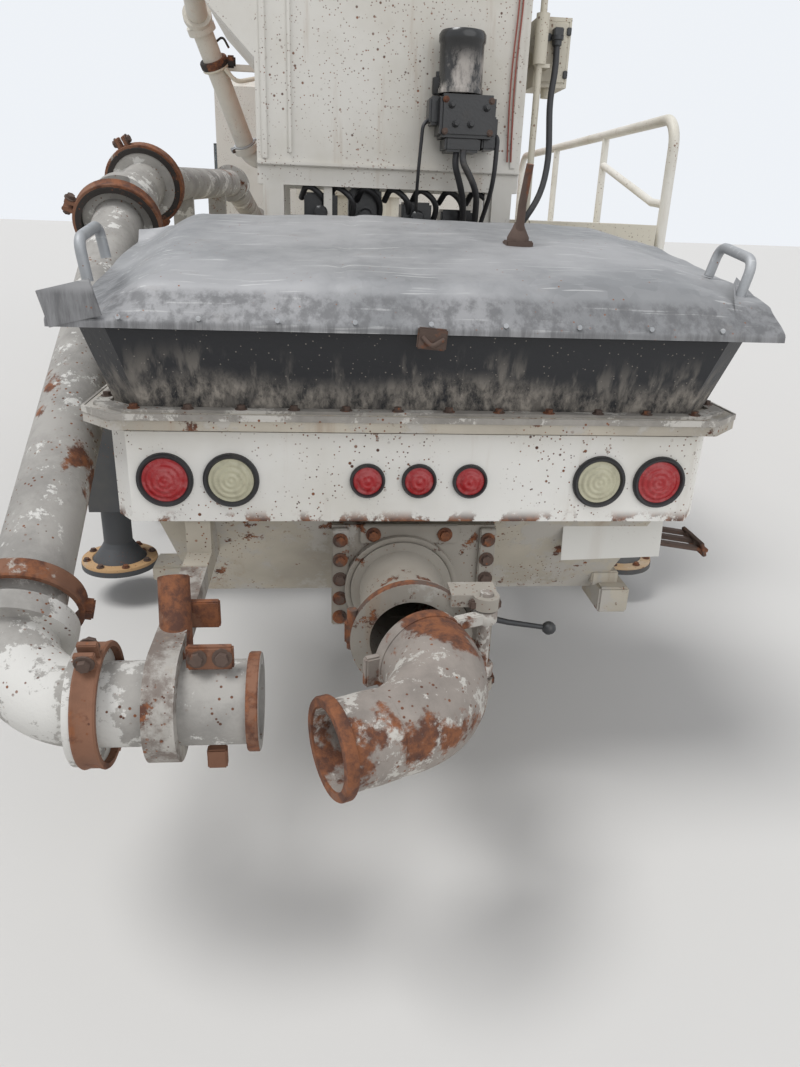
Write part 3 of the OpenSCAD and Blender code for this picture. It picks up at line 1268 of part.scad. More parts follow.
module tyre_rear_left() color(c_rubber) mirror([1, 0, 0]) tyre_rear_right();
module wheel_front_right() color(c_white) truck() front_wheel(front_track);
module wheel_front_left() color(c_white) mirror([1, 0, 0]) wheel_front_right();
module wheel_rear_right() color(c_white) truck() rear_wheel();
module wheel_rear_left() color(c_white) mirror([1, 0, 0]) wheel_rear_right();

chassis_frame();
axles();
engine_block();
cab_shell();
cab_glass();
front_bumper();
lamps();
mirrors();
cab_interior();
side_tanks();
fenders();
deck();
railing();
tank_box();
grease_pump();
control_box();
pedestal();
hopper_body();
hopper_collar();
lamp_panel();
hopper_grate();
outlet_housing();
delivery_pipe();
pump_cylinders();
hopper_cover();
agitator();
outlet_elbow();
door_left();
door_right();
door_glass_left();
door_glass_right();
turret();
boom_arm_1();
boom_arm_2();
boom_arm_3();
lift_barrel();
lift_rod();
fold2_barrel();
fold2_rod();
fold3_barrel();
fold3_rod();
outrigger_beam_left();
outrigger_beam_right();
jack_rear_left();
jack_rear_right();
jack_front_left();
jack_front_right();
knuckle_left();
knuckle_right();
tyre_front_left();
tyre_front_right();
tyre_rear_left();
tyre_rear_right();
wheel_front_left();
wheel_front_right();
wheel_rear_left();
wheel_rear_right();
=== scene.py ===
# %% [markdown]
# # A worn concrete pump truck
# The truck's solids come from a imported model. This script dresses them: it gives every
# surface a worn finish and adds the small parts that a solid leaves plain, such as lamps,
# clamps, bolts, hoses and the dented sheet cover.

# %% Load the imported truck
import math
import bpy
import bmesh
from mathutils import Matrix, Vector, noise


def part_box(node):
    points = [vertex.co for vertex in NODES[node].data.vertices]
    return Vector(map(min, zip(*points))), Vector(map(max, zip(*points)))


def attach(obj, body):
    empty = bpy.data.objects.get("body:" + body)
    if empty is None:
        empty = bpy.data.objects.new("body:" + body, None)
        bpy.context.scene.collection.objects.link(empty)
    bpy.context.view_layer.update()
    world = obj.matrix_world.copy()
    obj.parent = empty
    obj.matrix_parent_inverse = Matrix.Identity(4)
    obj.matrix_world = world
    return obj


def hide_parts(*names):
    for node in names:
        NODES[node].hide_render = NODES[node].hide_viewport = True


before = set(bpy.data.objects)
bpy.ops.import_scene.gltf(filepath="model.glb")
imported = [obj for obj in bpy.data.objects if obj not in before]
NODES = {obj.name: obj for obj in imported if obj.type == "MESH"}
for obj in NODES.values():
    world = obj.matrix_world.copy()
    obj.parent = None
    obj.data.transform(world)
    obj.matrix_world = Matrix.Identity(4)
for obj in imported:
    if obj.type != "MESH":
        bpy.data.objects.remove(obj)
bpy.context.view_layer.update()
PANEL_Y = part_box("lamp_panel")[0].y
RIGHT, AHEAD, BEHIND, UP = (1, 0, 0), (0, 1, 0), (0, -1, 0), (0, 0, 1)
BOTH_SIDES = ((-1, "l"), (1, "r"))
print("lamp panel stands at y =", round(PANEL_Y, 4))


def at(x, station, z):
    """A point whose station is measured forward from the lamp panel."""
    return Vector((x, PANEL_Y + station, z))


def turned(degrees, axis):
    return Matrix.Rotation(math.radians(degrees), 3, axis)


# %% [markdown]
# ## The camera
# The photograph was taken from behind the hopper, a little left of the middle, looking
# down by 22 degrees. The camera gets the fitted place and its three directions directly,
# which is exact and needs no aiming constraint.

# %% Camera
EYE = at(-0.234, -1.849, 1.632)
SIGHT = Vector((0.09579, 0.92222, -0.37461))
SIDE = Vector((0.99540, -0.08926, 0.03479))
UPWARD = Vector((0.00135, 0.37623, 0.92653))
PHOTO_LONG_SIDE, FOCAL_PIXELS, SENSOR = 1067, 800, 36

scene = bpy.context.scene
camera_data = bpy.data.cameras.new("photo_camera")
camera_data.sensor_width = SENSOR
camera_data.lens = FOCAL_PIXELS / PHOTO_LONG_SIDE * SENSOR
camera = bpy.data.objects.new("photo_camera", camera_data)
scene.collection.objects.link(camera)
aim = Matrix((SIDE, UPWARD, -SIGHT)).transposed().to_4x4()
camera.matrix_world = Matrix.Translation(EYE) @ aim
scene.camera = camera
print("lens", round(camera_data.lens, 2), "mm")

# %% [markdown]
# ## Floor and light
# A truck yard is replaced by a plain pale floor. The sun comes from high on the left, and
# a weaker one from behind on the right. Both are soft enough that no shadow is hard. The
# world fills in the rest: it lights softly, and looks paler than it lights.

# %% Floor, sun and world
scene.view_settings.view_transform = "Standard"

FLOOR_REACH = 60
floor_corners = [(x*FLOOR_REACH, y*FLOOR_REACH, 0) for x, y in ((-1, -1), (1, -1), (1, 1), (-1, 1))]
floor_mesh = bpy.data.meshes.new("floor")
floor_mesh.from_pydata(floor_corners, [], [(0, 1, 2, 3)])
floor = bpy.data.objects.new("floor", floor_mesh)
scene.collection.objects.link(floor)
pale_floor = bpy.data.materials.new("pale_floor")
pale_floor.use_nodes = True
floor_shader = pale_floor.node_tree.nodes["Principled BSDF"]
floor_shader.inputs["Base Color"].default_value = (0.62, 0.61, 0.59, 1)
floor_shader.inputs["Roughness"].default_value = 0.9
floor_mesh.materials.append(pale_floor)


def sun(name, power, soft_degrees, direction):
    lamp = bpy.data.lights.new(name, "SUN")
    lamp.energy = power
    lamp.angle = math.radians(soft_degrees)
    holder = bpy.data.objects.new(name, lamp)
    holder.rotation_mode = "QUATERNION"
    holder.rotation_quaternion = Vector(direction).to_track_quat("-Z", "Y")
    scene.collection.objects.link(holder)


sun("main_sun", 2.0, 25, (0.45, 0.15, -1.0))
sun("fill_sun", 0.9, 60, (-0.4, 0.8, -0.4))

world = bpy.data.worlds.new("studio")
scene.world = world
world.use_nodes = True
sky = world.node_tree
sky.nodes.clear()


def sky_node(kind, **values):
    """A node of the world, with values for its inputs."""
    made = sky.nodes.new("ShaderNode" + kind)
    for label, value in values.items():
        made.inputs[label].default_value = value
    return made


soft_light = sky_node("Background", Color=(0.93, 0.95, 1.0, 1), Strength=0.52)
backdrop = sky_node("Background", Color=(0.86, 0.89, 0.93, 1))
rays = sky_node("LightPath")
looked_at = rays.outputs["Is Camera Ray"]
for way in ("Is Glossy Ray", "Is Transmission Ray"):
    either = sky_node("Math")
    either.operation = "MAXIMUM"
    sky.links.new(looked_at, either.inputs[0])
    sky.links.new(rays.outputs[way], either.inputs[1])
    looked_at = either.outputs[0]
chooser, world_out = sky_node("MixShader"), sky_node("OutputWorld")
for place, source in enumerate((looked_at, soft_light.outputs[0], backdrop.outputs[0])):
    sky.links.new(source, chooser.inputs[place])
sky.links.new(chooser.outputs[0], world_out.inputs["Surface"])

# %% [markdown]
# ## A small language for finishes
# A worn surface is arithmetic on noise patterns: where is there rust, how thick is the
# cement on it, which speck broke through the paint. Writing that as Python expressions is
# easier to read than dozens of node calls, so one class wraps a socket and adds a Math
# node for each operator.


# %% Sockets that can be added and multiplied
class Wire:
    """The output socket of a node, usable in an expression."""

    def __init__(self, finish, socket):
        self.finish, self.socket = finish, socket

    def joined(self, operation, first, second):
        return self.finish.node("ShaderNodeMath", {"operation": operation}, {0: first, 1: second})

    def __add__(self, other):
        return self.joined("ADD", self, other)

    def __sub__(self, other):
        return self.joined("SUBTRACT", self, other)

    def __mul__(self, other):
        return self.joined("MULTIPLY", self, other)

    def __or__(self, other):
        return self.joined("MAXIMUM", self, other)

    __radd__, __rmul__ = __add__, __mul__

    def rise(self, low, high):
        """0 below low, 1 above high, smooth between; falls if low is the larger."""
        return self.finish.node("ShaderNodeMapRange", {"interpolation_type": "SMOOTHSTEP"},
            {"Value": self, "From Min": low, "From Max": high})


class Finish:
    """A material in the making."""

    def __init__(self, name):
        self.material = bpy.data.materials.new(name)
        self.material.use_nodes = True
        self.tree = self.material.node_tree
        self.shader = self.tree.nodes["Principled BSDF"]
        self.here = self.node("ShaderNodeTexCoord", out="Object")
        self.x, self.y, self.z = (
            self.node("ShaderNodeSeparateXYZ", {}, {0: self.here}, out=i) for i in range(3))

    def node(self, kind, settings=None, sockets=None, out=0):
        made = self.tree.nodes.new(kind)
        for name, value in (settings or {}).items():
            setattr(made, name, value)
        for key, value in (sockets or {}).items():
            self.feed(made.inputs[key], value)
        return Wire(self, made.outputs[out])

    def feed(self, socket, value):
        if isinstance(value, Wire):
            self.tree.links.new(value.socket, socket)
        elif isinstance(value, tuple) and len(value) == 3 and socket.type == "RGBA":
            socket.default_value = (*value, 1)
        else:
            socket.default_value = value

    def clouds(self, scale, detail=4.0, rough=0.5, stretch=(1, 1, 1), shift=0.0):
        """Soft noise from 0 to 1."""
        where = self.node("ShaderNodeMapping", {},
            {"Vector": self.here, "Scale": stretch, "Location": (shift, shift, shift)})
        return self.node("ShaderNodeTexNoise", {},
            {"Vector": where, "Scale": scale, "Detail": detail, "Roughness": rough})

    def dots(self, scale, shift=0.0):
        """The distance to the nearest of many scattered points."""
        where = self.node("ShaderNodeMapping", {},
            {"Vector": self.here, "Location": (shift, shift, shift)})
        return self.node("ShaderNodeTexVoronoi", {}, {"Vector": where, "Scale": scale})

    def mix(self, below, above, mask):
        return self.node("ShaderNodeMix", {"data_type": "RGBA"}, {0: mask, 6: below, 7: above},
            out=2)

    def skin(self, colour, roughness, metallic=0.0, height=None, depth=0.002, **fixed):
        """Connect the shader and return the finished material."""
        self.feed(self.shader.inputs["Base Color"], colour)
        self.feed(self.shader.inputs["Roughness"], roughness)
        self.feed(self.shader.inputs["Metallic"], metallic)
        if height is not None:
            relief = self.node("ShaderNodeBump", {},
                {"Height": height, "Distance": depth, "Strength": 0.8})
            self.feed(self.shader.inputs["Normal"], relief)
        for name, value in fixed.items():
            self.feed(self.shader.inputs[name], value)
        return self.material


# %% [markdown]
# ## Paint, rust and cement
# Pump trucks live in splashed cement. Their paint chips in small specks that turn to rust,
# streaks run down from them, and grey cement dries in patches. Each is one mask made from
# noise with a threshold; the thresholds say how far the surface has gone.

# %% Worn paint
RUST_DARK, RUST_WARM = (0.085, 0.035, 0.022), (0.23, 0.085, 0.035)
CEMENT, STREAK = (0.44, 0.42, 0.385), (0.36, 0.24, 0.15)
PALE_PIPE, PALE_PIPE_SHADE = (0.60, 0.57, 0.50), (0.44, 0.42, 0.38)
BARE_STEEL, BARE_STEEL_LIGHT = (0.17, 0.14, 0.12), (0.36, 0.34, 0.31)


def worn_paint(name, paint, shade, specks=0.5, rust=0.64, cement=0.66, streaks=0.6, rough=0.5,
        low_grime=None, pipe_left_of=None, bare_corner=None):
    """Higher rust and cement thresholds leave more paint; pipes left of a place stay pale."""
    f = Finish(name)
    broad = f.clouds(1.7, 5, 0.6)
    tone = f.mix(paint, shade, broad.rise(0.42, 0.68))
    if pipe_left_of is not None:
        pale = f.mix(PALE_PIPE, PALE_PIPE_SHADE, broad.rise(0.35, 0.65))
        tone = f.mix(tone, pale, f.x.rise(pipe_left_of + 0.002, pipe_left_of - 0.002))
    if bare_corner is not None:
        x, y = bare_corner
        worn_off = f.clouds(11, 9, 0.7, shift=29.0).rise(0.42, 0.58)
        steel = f.mix(BARE_STEEL, BARE_STEEL_LIGHT, worn_off)
        tone = f.mix(tone, steel, f.x.rise(x + 0.01, x - 0.01)*f.y.rise(y + 0.01, y - 0.01))
    run_down = f.clouds(7.0, 6, 0.62, stretch=(1.6, 1.6, 0.16), shift=3.0)
    streak_tone = tuple(0.55*c + 0.45*w for c, w in zip(shade, STREAK))
    tone = f.mix(tone, streak_tone, run_down.rise(0.56, 0.74)*streaks)
    splash = f.clouds(5.5, 10, 0.7, shift=11.0).rise(cement, cement + 0.07)
    tone = f.mix(tone, CEMENT, splash*0.85)
    where = f.clouds(4.2, 4, 0.6, shift=7.0)
    chips = f.dots(34).rise(0.17, 0.10)*where.rise(0.50, 0.60)
    fine = f.dots(85, shift=5.0).rise(0.21, 0.12)*where.rise(0.44, 0.56)
    patches = f.clouds(9.0, 12, 0.72, shift=17.0).rise(rust, rust + 0.035)
    broken = (chips | fine)*specks | patches
    if low_grime:
        low, high = low_grime
        broken = broken | f.clouds(13, 10, 0.7, shift=23.0).rise(0.5, 0.56)*f.z.rise(high, low)
    rust_tone = f.mix(RUST_DARK, RUST_WARM, f.clouds(40, 6, 0.6).rise(0.4, 0.6))
    tone = f.mix(tone, rust_tone, broken)
    gloss = (broken | splash)*(0.92 - rough) + rough
    height = splash*0.5 - broken*0.6 + f.clouds(160, 4)*0.12
    return f.skin(tone, gloss, height=height, depth=0.0015)


ORANGE, ORANGE_SHADE = (0.56, 0.22, 0.075), (0.46, 0.19, 0.08)
white_paint = worn_paint("white_paint", (0.74, 0.72, 0.66), (0.60, 0.57, 0.49), 0.9, 0.69, 0.72)
tank_paint = worn_paint("tank_paint", (0.66, 0.64, 0.59), (0.55, 0.52, 0.455),
    0.9, 0.68, 0.73, 0.95)
panel_paint = worn_paint("lamp_panel_paint", (0.80, 0.79, 0.75), (0.70, 0.68, 0.62), 1.0, 0.645,
    0.78, 0.45, low_grime=(0.912, 0.948))
plate_paint = worn_paint("plate_paint", (0.66, 0.65, 0.61), (0.56, 0.55, 0.51),
    0.15, 0.73, 0.74, 0.25)
cream_paint = worn_paint("cream_paint", (0.62, 0.58, 0.48), (0.50, 0.46, 0.37), 0.8, 0.66, 0.60)
# The hopper's paint is dark for cream: partly cement and dirt, partly painted shade for the shade
# under the hopper.
hopper_paint_and_shade = worn_paint("hopper_paint_and_shade", (0.47, 0.43, 0.355), (0.33, 0.30, 0.25), 1.0, 0.60, 0.50,
    0.85, 0.7, bare_corner=(-0.36, PANEL_Y - 0.07))
# The valve housing's paint is darker still: partly cement and dirt, partly painted shade for the
# shade under the lamp panel.
housing_paint_and_shade = worn_paint("housing_paint_and_shade", (0.33, 0.305, 0.265), (0.235, 0.21, 0.175), 1.0, 0.58,
    0.585, 0.85, 0.7)
boom_paint = worn_paint("boom_paint", ORANGE, ORANGE_SHADE, 0.4, 0.72, 0.74, 0.3,
    pipe_left_of=-0.50)
second_arm_paint = worn_paint("second_arm_paint", ORANGE, ORANGE_SHADE, 0.4, 0.72, 0.74, 0.3,
    pipe_left_of=-0.25)
foot_paint = worn_paint("foot_paint", (0.50, 0.31, 0.15), (0.48, 0.43, 0.34),
    0.8, 0.62, 0.58, 0.5, 0.6)
frame_paint = worn_paint("frame_paint", (0.055, 0.058, 0.062), (0.10, 0.095, 0.085),
    0.5, 0.68, 0.64, 0.3, 0.6)
wheel_paint = worn_paint("wheel_paint", (0.52, 0.51, 0.48), (0.36, 0.34, 0.30),
    0.5, 0.66, 0.66, 0.3)
engine_paint = worn_paint("engine_paint", (0.20, 0.21, 0.21), (0.11, 0.10, 0.09),
    0.3, 0.66, 0.66, 0.6)


# %% [markdown]
# ## Cement on steel pipes
# A delivery line is painted seldom and splashed daily, so scraps of paint lie between bare
# steel and rust. Flakes could be painted by hand, but one noise with a threshold gives
# ragged edges at any distance, and its height feeds the bump too.

# %% Pipes that carry concrete
def worn_pipe(name, paint, bare, rust_from, flakes_from, white_corner=None):
    """Below and left of white_corner (x, z) most of the paint is still on."""
    f = Finish(name)
    base = f.mix(bare, tuple(c*0.72 for c in bare), f.clouds(6, 8, 0.65).rise(0.4, 0.65))
    flakes = f.clouds(8.5, 14, 0.74, shift=4.0)
    painted = flakes
    if white_corner:
        x, z = white_corner
        painted = flakes + f.x.rise(x + 0.04, x - 0.04)*f.z.rise(z + 0.05, z - 0.05)*0.12
    tone = f.mix(base, paint, painted.rise(flakes_from, flakes_from + 0.03))
    patches = f.clouds(4.6, 12, 0.66, shift=9.0).rise(rust_from, rust_from + 0.05)
    tiny = f.dots(60, 2.0).rise(0.22, 0.14)*f.clouds(9, 3, shift=2.0).rise(0.47, 0.58)
    rusty = patches | tiny
    rust_tone = f.mix(RUST_DARK, RUST_WARM, f.clouds(30, 8, 0.7).rise(0.38, 0.64))
    tone = f.mix(tone, rust_tone, rusty)
    return f.skin(tone, 0.86, height=flakes*0.8 + f.clouds(90, 8, 0.7)*0.5, depth=0.003)


pipe_skin = worn_pipe("delivery_pipe_skin", (0.60, 0.59, 0.56), (0.37, 0.355, 0.33), 0.60, 0.56,
    (-0.62, 0.85))
elbow_skin = worn_pipe("elbow_skin", (0.50, 0.48, 0.44), (0.30, 0.265, 0.235), 0.52, 0.53)
clamp_rust = worn_pipe("clamp_rust", (0.20, 0.17, 0.145), (0.105, 0.07, 0.055), 0.50, 0.66)
cement_crust = worn_pipe("cement_crust", (0.52, 0.50, 0.46), (0.33, 0.31, 0.28), 0.66, 0.52)
rusty_ring = worn_pipe("rusty_ring", (0.36, 0.32, 0.28), (0.22, 0.105, 0.062), 0.46, 0.60)
black_clamp = worn_pipe("black_clamp", (0.05, 0.045, 0.04), (0.03, 0.025, 0.022), 0.56, 0.72)


# %% [markdown]
# ## Galvanised sheet
# Zinc cools in crystals, which show as small plates of slightly different grey. A Voronoi
# texture gives each cell its own value, and a faint mix of it is enough: a stronger one
# would look like tiles. The scratches are noise stretched along x.

# %% Galvanised sheet
def galvanised(name, tone_low, tone_high, shine, streaks_and_shade_below=None):
    f = Finish(name)
    bloom = f.clouds(2.4, 9, 0.66)
    tone = f.mix(tone_low, tone_high, bloom.rise(0.36, 0.66))
    crystals = f.node("ShaderNodeTexVoronoi", {"feature": "F1"}, {"Vector": f.here, "Scale": 26.0},
        out="Color")
    spangle = f.node("ShaderNodeSeparateColor", {}, {0: crystals})
    tone = f.mix(tone, tuple(c*1.12 for c in tone_high), spangle*0.22)
    scratch = f.clouds(60, 3, 0.5, stretch=(0.06, 1.3, 1.3), shift=6.0).rise(0.63, 0.68)
    tone = f.mix(tone, (0.62, 0.62, 0.61), scratch*0.45)
    stain = f.clouds(5, 8, 0.7, shift=13.0).rise(0.60, 0.74)
    tone = f.mix(tone, (0.23, 0.20, 0.17), stain*0.5)
    dots = f.dots(42, 3.0).rise(0.12, 0.07)*f.clouds(6, 2, shift=31.0).rise(0.5, 0.6)
    # Below the given height, on the rear face under the cover's ridge, the sheet is darkened:
    # painted shade, streaked with vertical dirt strokes.
    if streaks_and_shade_below:
        strokes = f.clouds(30, 6, 0.7, stretch=(1.0, 1.0, 0.12), shift=19.0).rise(0.40, 0.62)
        low = f.z.rise(streaks_and_shade_below, streaks_and_shade_below - 0.02)
        tone = f.mix(tone, (0.115, 0.115, 0.118), (strokes*0.55 + 0.3)*low)
    tone = f.mix(tone, RUST_WARM, dots)
    height = bloom + f.clouds(40, 5)*0.12
    return f.skin(tone, 0.46 + bloom*0.25, metallic=shine, height=height, depth=0.004)


# The cover gets painted shade, with streaks in it, below a height of 1.466.
cover_sheet = galvanised("cover_sheet", (0.21, 0.215, 0.22), (0.34, 0.34, 0.345), 0.25, 1.466)
zinc_skin = galvanised("zinc_skin", (0.28, 0.29, 0.30), (0.40, 0.41, 0.42), 0.5)


# %% [markdown]
# ## Rubber, plastic, chrome and glass
# These differ in little but tone, gloss and how the dirt lies, so a few short functions
# make them all: dusty black for rubber and plastic, a thin film on bright metal, and
# splashed cement that thickens towards the foot of the collar.

# %% Rubber, plastic, chrome and glass
def cement_rubber():
    """Black collar rubber, clean at its top and grey with dried cement lower down."""
    f = Finish("cement_rubber")
    height = f.z + f.clouds(3.2, 4, 0.6, stretch=(1, 1, 0.2))*0.12
    low = height.rise(1.355, 1.285)
    spatter = f.clouds(26, 12, 0.75, stretch=(1, 1, 0.45)).rise(0.36, 0.62)
    runs = f.clouds(22, 5, 0.6, stretch=(1, 1, 0.1), shift=8.0).rise(0.5, 0.66)
    runs = runs*height.rise(1.42, 1.31)
    grey = low*spatter | runs*0.55 | f.dots(70).rise(0.14, 0.08)*0.6
    tone = f.mix((0.015, 0.016, 0.019), (0.37, 0.335, 0.29), grey*0.9)
    return f.skin(tone, 0.55 + grey*0.35, height=spatter*low + f.clouds(70, 6)*0.3, depth=0.004)


def plain_black(name, tone, rough, dust=(0.20, 0.18, 0.155), dust_from=0.56):
    f = Finish(name)
    dusty = f.clouds(7, 9, 0.68).rise(dust_from, dust_from + 0.2)
    return f.skin(f.mix(tone, dust, dusty*0.55), rough + dusty*0.25, height=f.clouds(120, 4),
        depth=0.0006)


def filmed_metal(name, clean, filmed, pattern, rough, rougher):
    """Bright metal under a thin film of dirt; pattern is (scale, detail, roughness)."""
    f = Finish(name)
    film = f.clouds(*pattern).rise(0.5, 0.75)
    return f.skin(f.mix(clean, filmed, film*0.5), rough + film*rougher, metallic=1.0)


def window_glass():
    f = Finish("window_glass")
    dirt = f.clouds(3, 8, 0.65).rise(0.5, 0.8)
    tone = f.mix((0.035, 0.05, 0.055), (0.22, 0.21, 0.19), dirt*0.4)
    return f.skin(tone, 0.05 + dirt*0.2, Alpha=0.55)


collar_rubber = cement_rubber()
tyre_rubber = plain_black("tyre_rubber", (0.028, 0.028, 0.029), 0.72, (0.16, 0.15, 0.13), 0.46)
black_rubber = plain_black("black_rubber", (0.02, 0.02, 0.022), 0.5)
black_plastic = plain_black("black_plastic", (0.028, 0.029, 0.031), 0.45)
oily_black = plain_black("oily_black", (0.012, 0.012, 0.013), 0.28, (0.07, 0.06, 0.05), 0.6)
rod_chrome = filmed_metal("rod_chrome", (0.72, 0.73, 0.75), (0.42, 0.40, 0.36), (14, 8, 0.6),
    0.16, 0.3)
cab_window = window_glass()

# %% [markdown]
# ## Dress the solids
# A node of the solid model keeps its mesh and gets one of the finishes above. A small
# table says which.

# %% Finish of each node
DRESS = {
    white_paint: ["cab_shell", "railing", "door_left", "door_right"],
    tank_paint: ["tank_box"],
    panel_paint: ["lamp_panel"],
    cream_paint: ["deck", "control_box", "pedestal", "outrigger_beam_left", "outrigger_beam_right"],
    hopper_paint_and_shade: ["hopper_body"],
    housing_paint_and_shade: ["outlet_housing"],
    boom_paint: ["turret", "boom_arm_1", "boom_arm_3"],
    second_arm_paint: ["boom_arm_2"],
    frame_paint: ["chassis_frame", "axles", "front_bumper", "mirrors", "lift_barrel",
        "fold2_barrel", "fold3_barrel", "knuckle_left", "knuckle_right", "agitator", "hopper_grate",
        "jack_rear_left", "jack_rear_right", "jack_front_left", "jack_front_right"],
    zinc_skin: ["side_tanks"],
    cover_sheet: ["hopper_cover"],
    pipe_skin: ["delivery_pipe", "pump_cylinders"],
    elbow_skin: ["outlet_elbow"],
    rod_chrome: ["lift_rod", "fold2_rod", "fold3_rod"],
    collar_rubber: ["hopper_collar"],
    tyre_rubber: ["tyre_front_left", "tyre_front_right", "tyre_rear_left", "tyre_rear_right"],
    wheel_paint: ["wheel_front_left", "wheel_front_right", "wheel_rear_left", "wheel_rear_right"],
    cab_window: ["cab_glass", "door_glass_left", "door_glass_right"],
    black_plastic: ["cab_interior", "fenders"],
    oily_black: ["grease_pump"],
    engine_paint: ["engine_block"],
    black_rubber: ["lamps"],
}
for material, names in DRESS.items():
    for name in names:
        mesh = NODES[name].data
        mesh.materials.clear()
        mesh.materials.append(material)
print("dressed", sum(len(n) for n in DRESS.values()), "of", len(NODES), "nodes")

# %% [markdown]
# ## Tools for small pieces
# Most small parts of a truck are turned, pressed or bent. A lathe, a block with worn
# edges and a tube along a path make nearly all of them, straight in mesh code, which
# keeps each part's place in its own vertices.


# %% Rows of points and the faces between them
def round_about(count, shift=0.0):
    """The angles of a circle in equal steps, moved on by a share of one step."""
    return [math.tau*(k + shift)/count for k in range(count)]


def circle_of(mesh, middle, side, other, radius, count):
    """New points on a circle that lies in the plane of two directions."""
    return [mesh.verts.new(middle + side*(radius*math.cos(a)) + other*(radius*math.sin(a)))
        for a in round_about(count)]


def join_rows(mesh, first, second, closed=True):
    """Faces between two rows of points; a closed row ends where it begins."""
    for k in range(len(first) if closed else len(first) - 1):
        n = (k + 1) % len(first)
        mesh.faces.new((first[k], first[n], second[n], second[k]))


def join_strip(mesh, rows):
    """A strip with one row of points along each of its edges."""
    for first, second in zip(rows, rows[1:] + rows[:1]):
        join_rows(mesh, first, second, closed=False)


def slab(mesh, near, far):
    """A plate between two outlines with equally many corners."""
    near, far = ([mesh.verts.new(p) for p in outline] for outline in (near, far))
    mesh.faces.new(near)
    mesh.faces.new(far)
    join_rows(mesh, near, far)


def sheet(mesh, columns, rows, place):
    """A grid of faces; place gives the point at a column and row."""
    grid = [[mesh.verts.new(place(i, j)) for j in range(rows + 1)] for i in range(columns + 1)]
    for i in range(columns):
        for j in range(rows):
            mesh.faces.new((grid[i][j], grid[i + 1][j], grid[i + 1][j + 1], grid[i][j + 1]))
    return grid


# %% Lathe, block, tube and rounded path
def lathe(mesh, profile, centre, axis, segments=40):
    """Turn a profile of (radius, distance along the axis) about an axis through centre."""
    axis = Vector(axis).normalized()
    side = axis.orthogonal().normalized()
    other = axis.cross(side)
    rings = []
    for radius, along in profile:
        middle = Vector(centre) + axis*along
        if radius < 1e-6:
            rings.append([mesh.verts.new(middle)])
        else:
            rings.append(circle_of(mesh, middle, side, other, radius, segments))
    for first, second in zip(rings, rings[1:]):
        for k in range(segments):
            n = (k + 1) % segments
            corners = (first[k % len(first)], first[n % len(first)],
                second[n % len(second)], second[k % len(second)])
            corners = list(dict.fromkeys(corners))
            if len(corners) > 2:
                mesh.faces.new(corners)
    return mesh


def band_ring(mesh, centre, axis, bore, shoulder, outer, half, flat, segments):
    """A clamp's ring: a flat crown with a slope on each side and a plain bore."""
    profile = [(bore, -half), (shoulder, -half), (outer, -flat), (outer, flat), (shoulder, half),
        (bore, half), (bore, -half)]
    lathe(mesh, profile, centre, axis, segments)


def add_mesh(mesh, part):
    made = bpy.data.meshes.new("joining")
    part.to_mesh(made)
    part.free()
    mesh.from_mesh(made)
    bpy.data.meshes.remove(made)


def block(mesh, low, high, wear=0.002, rotate=None):
    """A block between two corners with softened edges, turned about its own middle."""
    low, high = Vector(low), Vector(high)
    part = bmesh.new()
    bmesh.ops.create_cube(part, size=1)
    size = high - low
    for v in part.verts:
        v.co = Vector(v.co[i]*size[i] for i in range(3))
    bmesh.ops.bevel(part, geom=list(part.edges), offset=wear, segments=2, affect="EDGES",
        clamp_overlap=True)
    middle = (low + high)/2
    for v in part.verts:
        v.co = (rotate @ v.co if rotate else v.co) + middle
    add_mesh(mesh, part)
    return mesh


def tube(mesh, path, radius, sides=12, capped=True):
    """A round bar along a path; radius may be a list with one value for each point."""
    path = [Vector(p) for p in path]
    last = len(path) - 1
    radii = radius if isinstance(radius, list) else [radius]*len(path)
    ahead = [(path[min(i + 1, last)] - path[max(i - 1, 0)]).normalized() for i in range(len(path))]
    side = ahead[0].orthogonal().normalized()
    rings = []
    for point, forward, r in zip(path, ahead, radii):
        side = (side - forward*side.dot(forward)).normalized()
        rings.append(circle_of(mesh, point, side, forward.cross(side), r, sides))
    for first, second in zip(rings, rings[1:]):
        join_rows(mesh, first, second)
    if capped:
        mesh.faces.new(rings[0])
        mesh.faces.new(rings[-1])
    return mesh


def rounded(corners, radius, steps=7):
    """The corners of a path with each inner corner rounded off."""
    corners = [Vector(c) for c in corners]
    path = [corners[0]]
    for before, here, after in zip(corners, corners[1:], corners[2:]):
        a, b = (before - here), (after - here)
        reach = min(radius, a.length*0.49, b.length*0.49)
        start, end = here + a.normalized()*reach, here + b.normalized()*reach
        for k in range(steps + 1):
            t = k/steps
            path.append(start*(1 - t)**2 + here*(2*t*(1 - t)) + end*t**2)
    path.append(corners[-1])
    return path


# %% [markdown]
# ## From a mesh to a piece
# A small part needs outward faces, soft shading that stops at its edges, a finish, and a
# body to ride on. One function does all four, so no piece can miss one.

# %% Finished pieces
def stand(name, made, body):
    """Put a finished mesh in the scene as a piece that rides on a body."""
    holder = bpy.data.objects.new(name, made)
    scene.collection.objects.link(holder)
    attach(holder, body)
    return holder


def piece(name, mesh, material, body, sharp_degrees=38, replace=()):
    """Close a piece: outward faces, soft shading up to an angle, finish and body."""
    bmesh.ops.remove_doubles(mesh, verts=mesh.verts, dist=1e-6)
    bmesh.ops.recalc_face_normals(mesh, faces=mesh.faces)
    limit = math.radians(sharp_degrees)
    for edge in mesh.edges:
        edge.smooth = len(edge.link_faces) == 2 and edge.calc_face_angle(0) < limit
    for face in mesh.faces:
        face.smooth = True
    made = bpy.data.meshes.new(name)
    mesh.to_mesh(made)
    mesh.free()
    made.materials.append(material)
    holder = stand(name, made, body)
    if replace:
        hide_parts(*replace)
    return holder


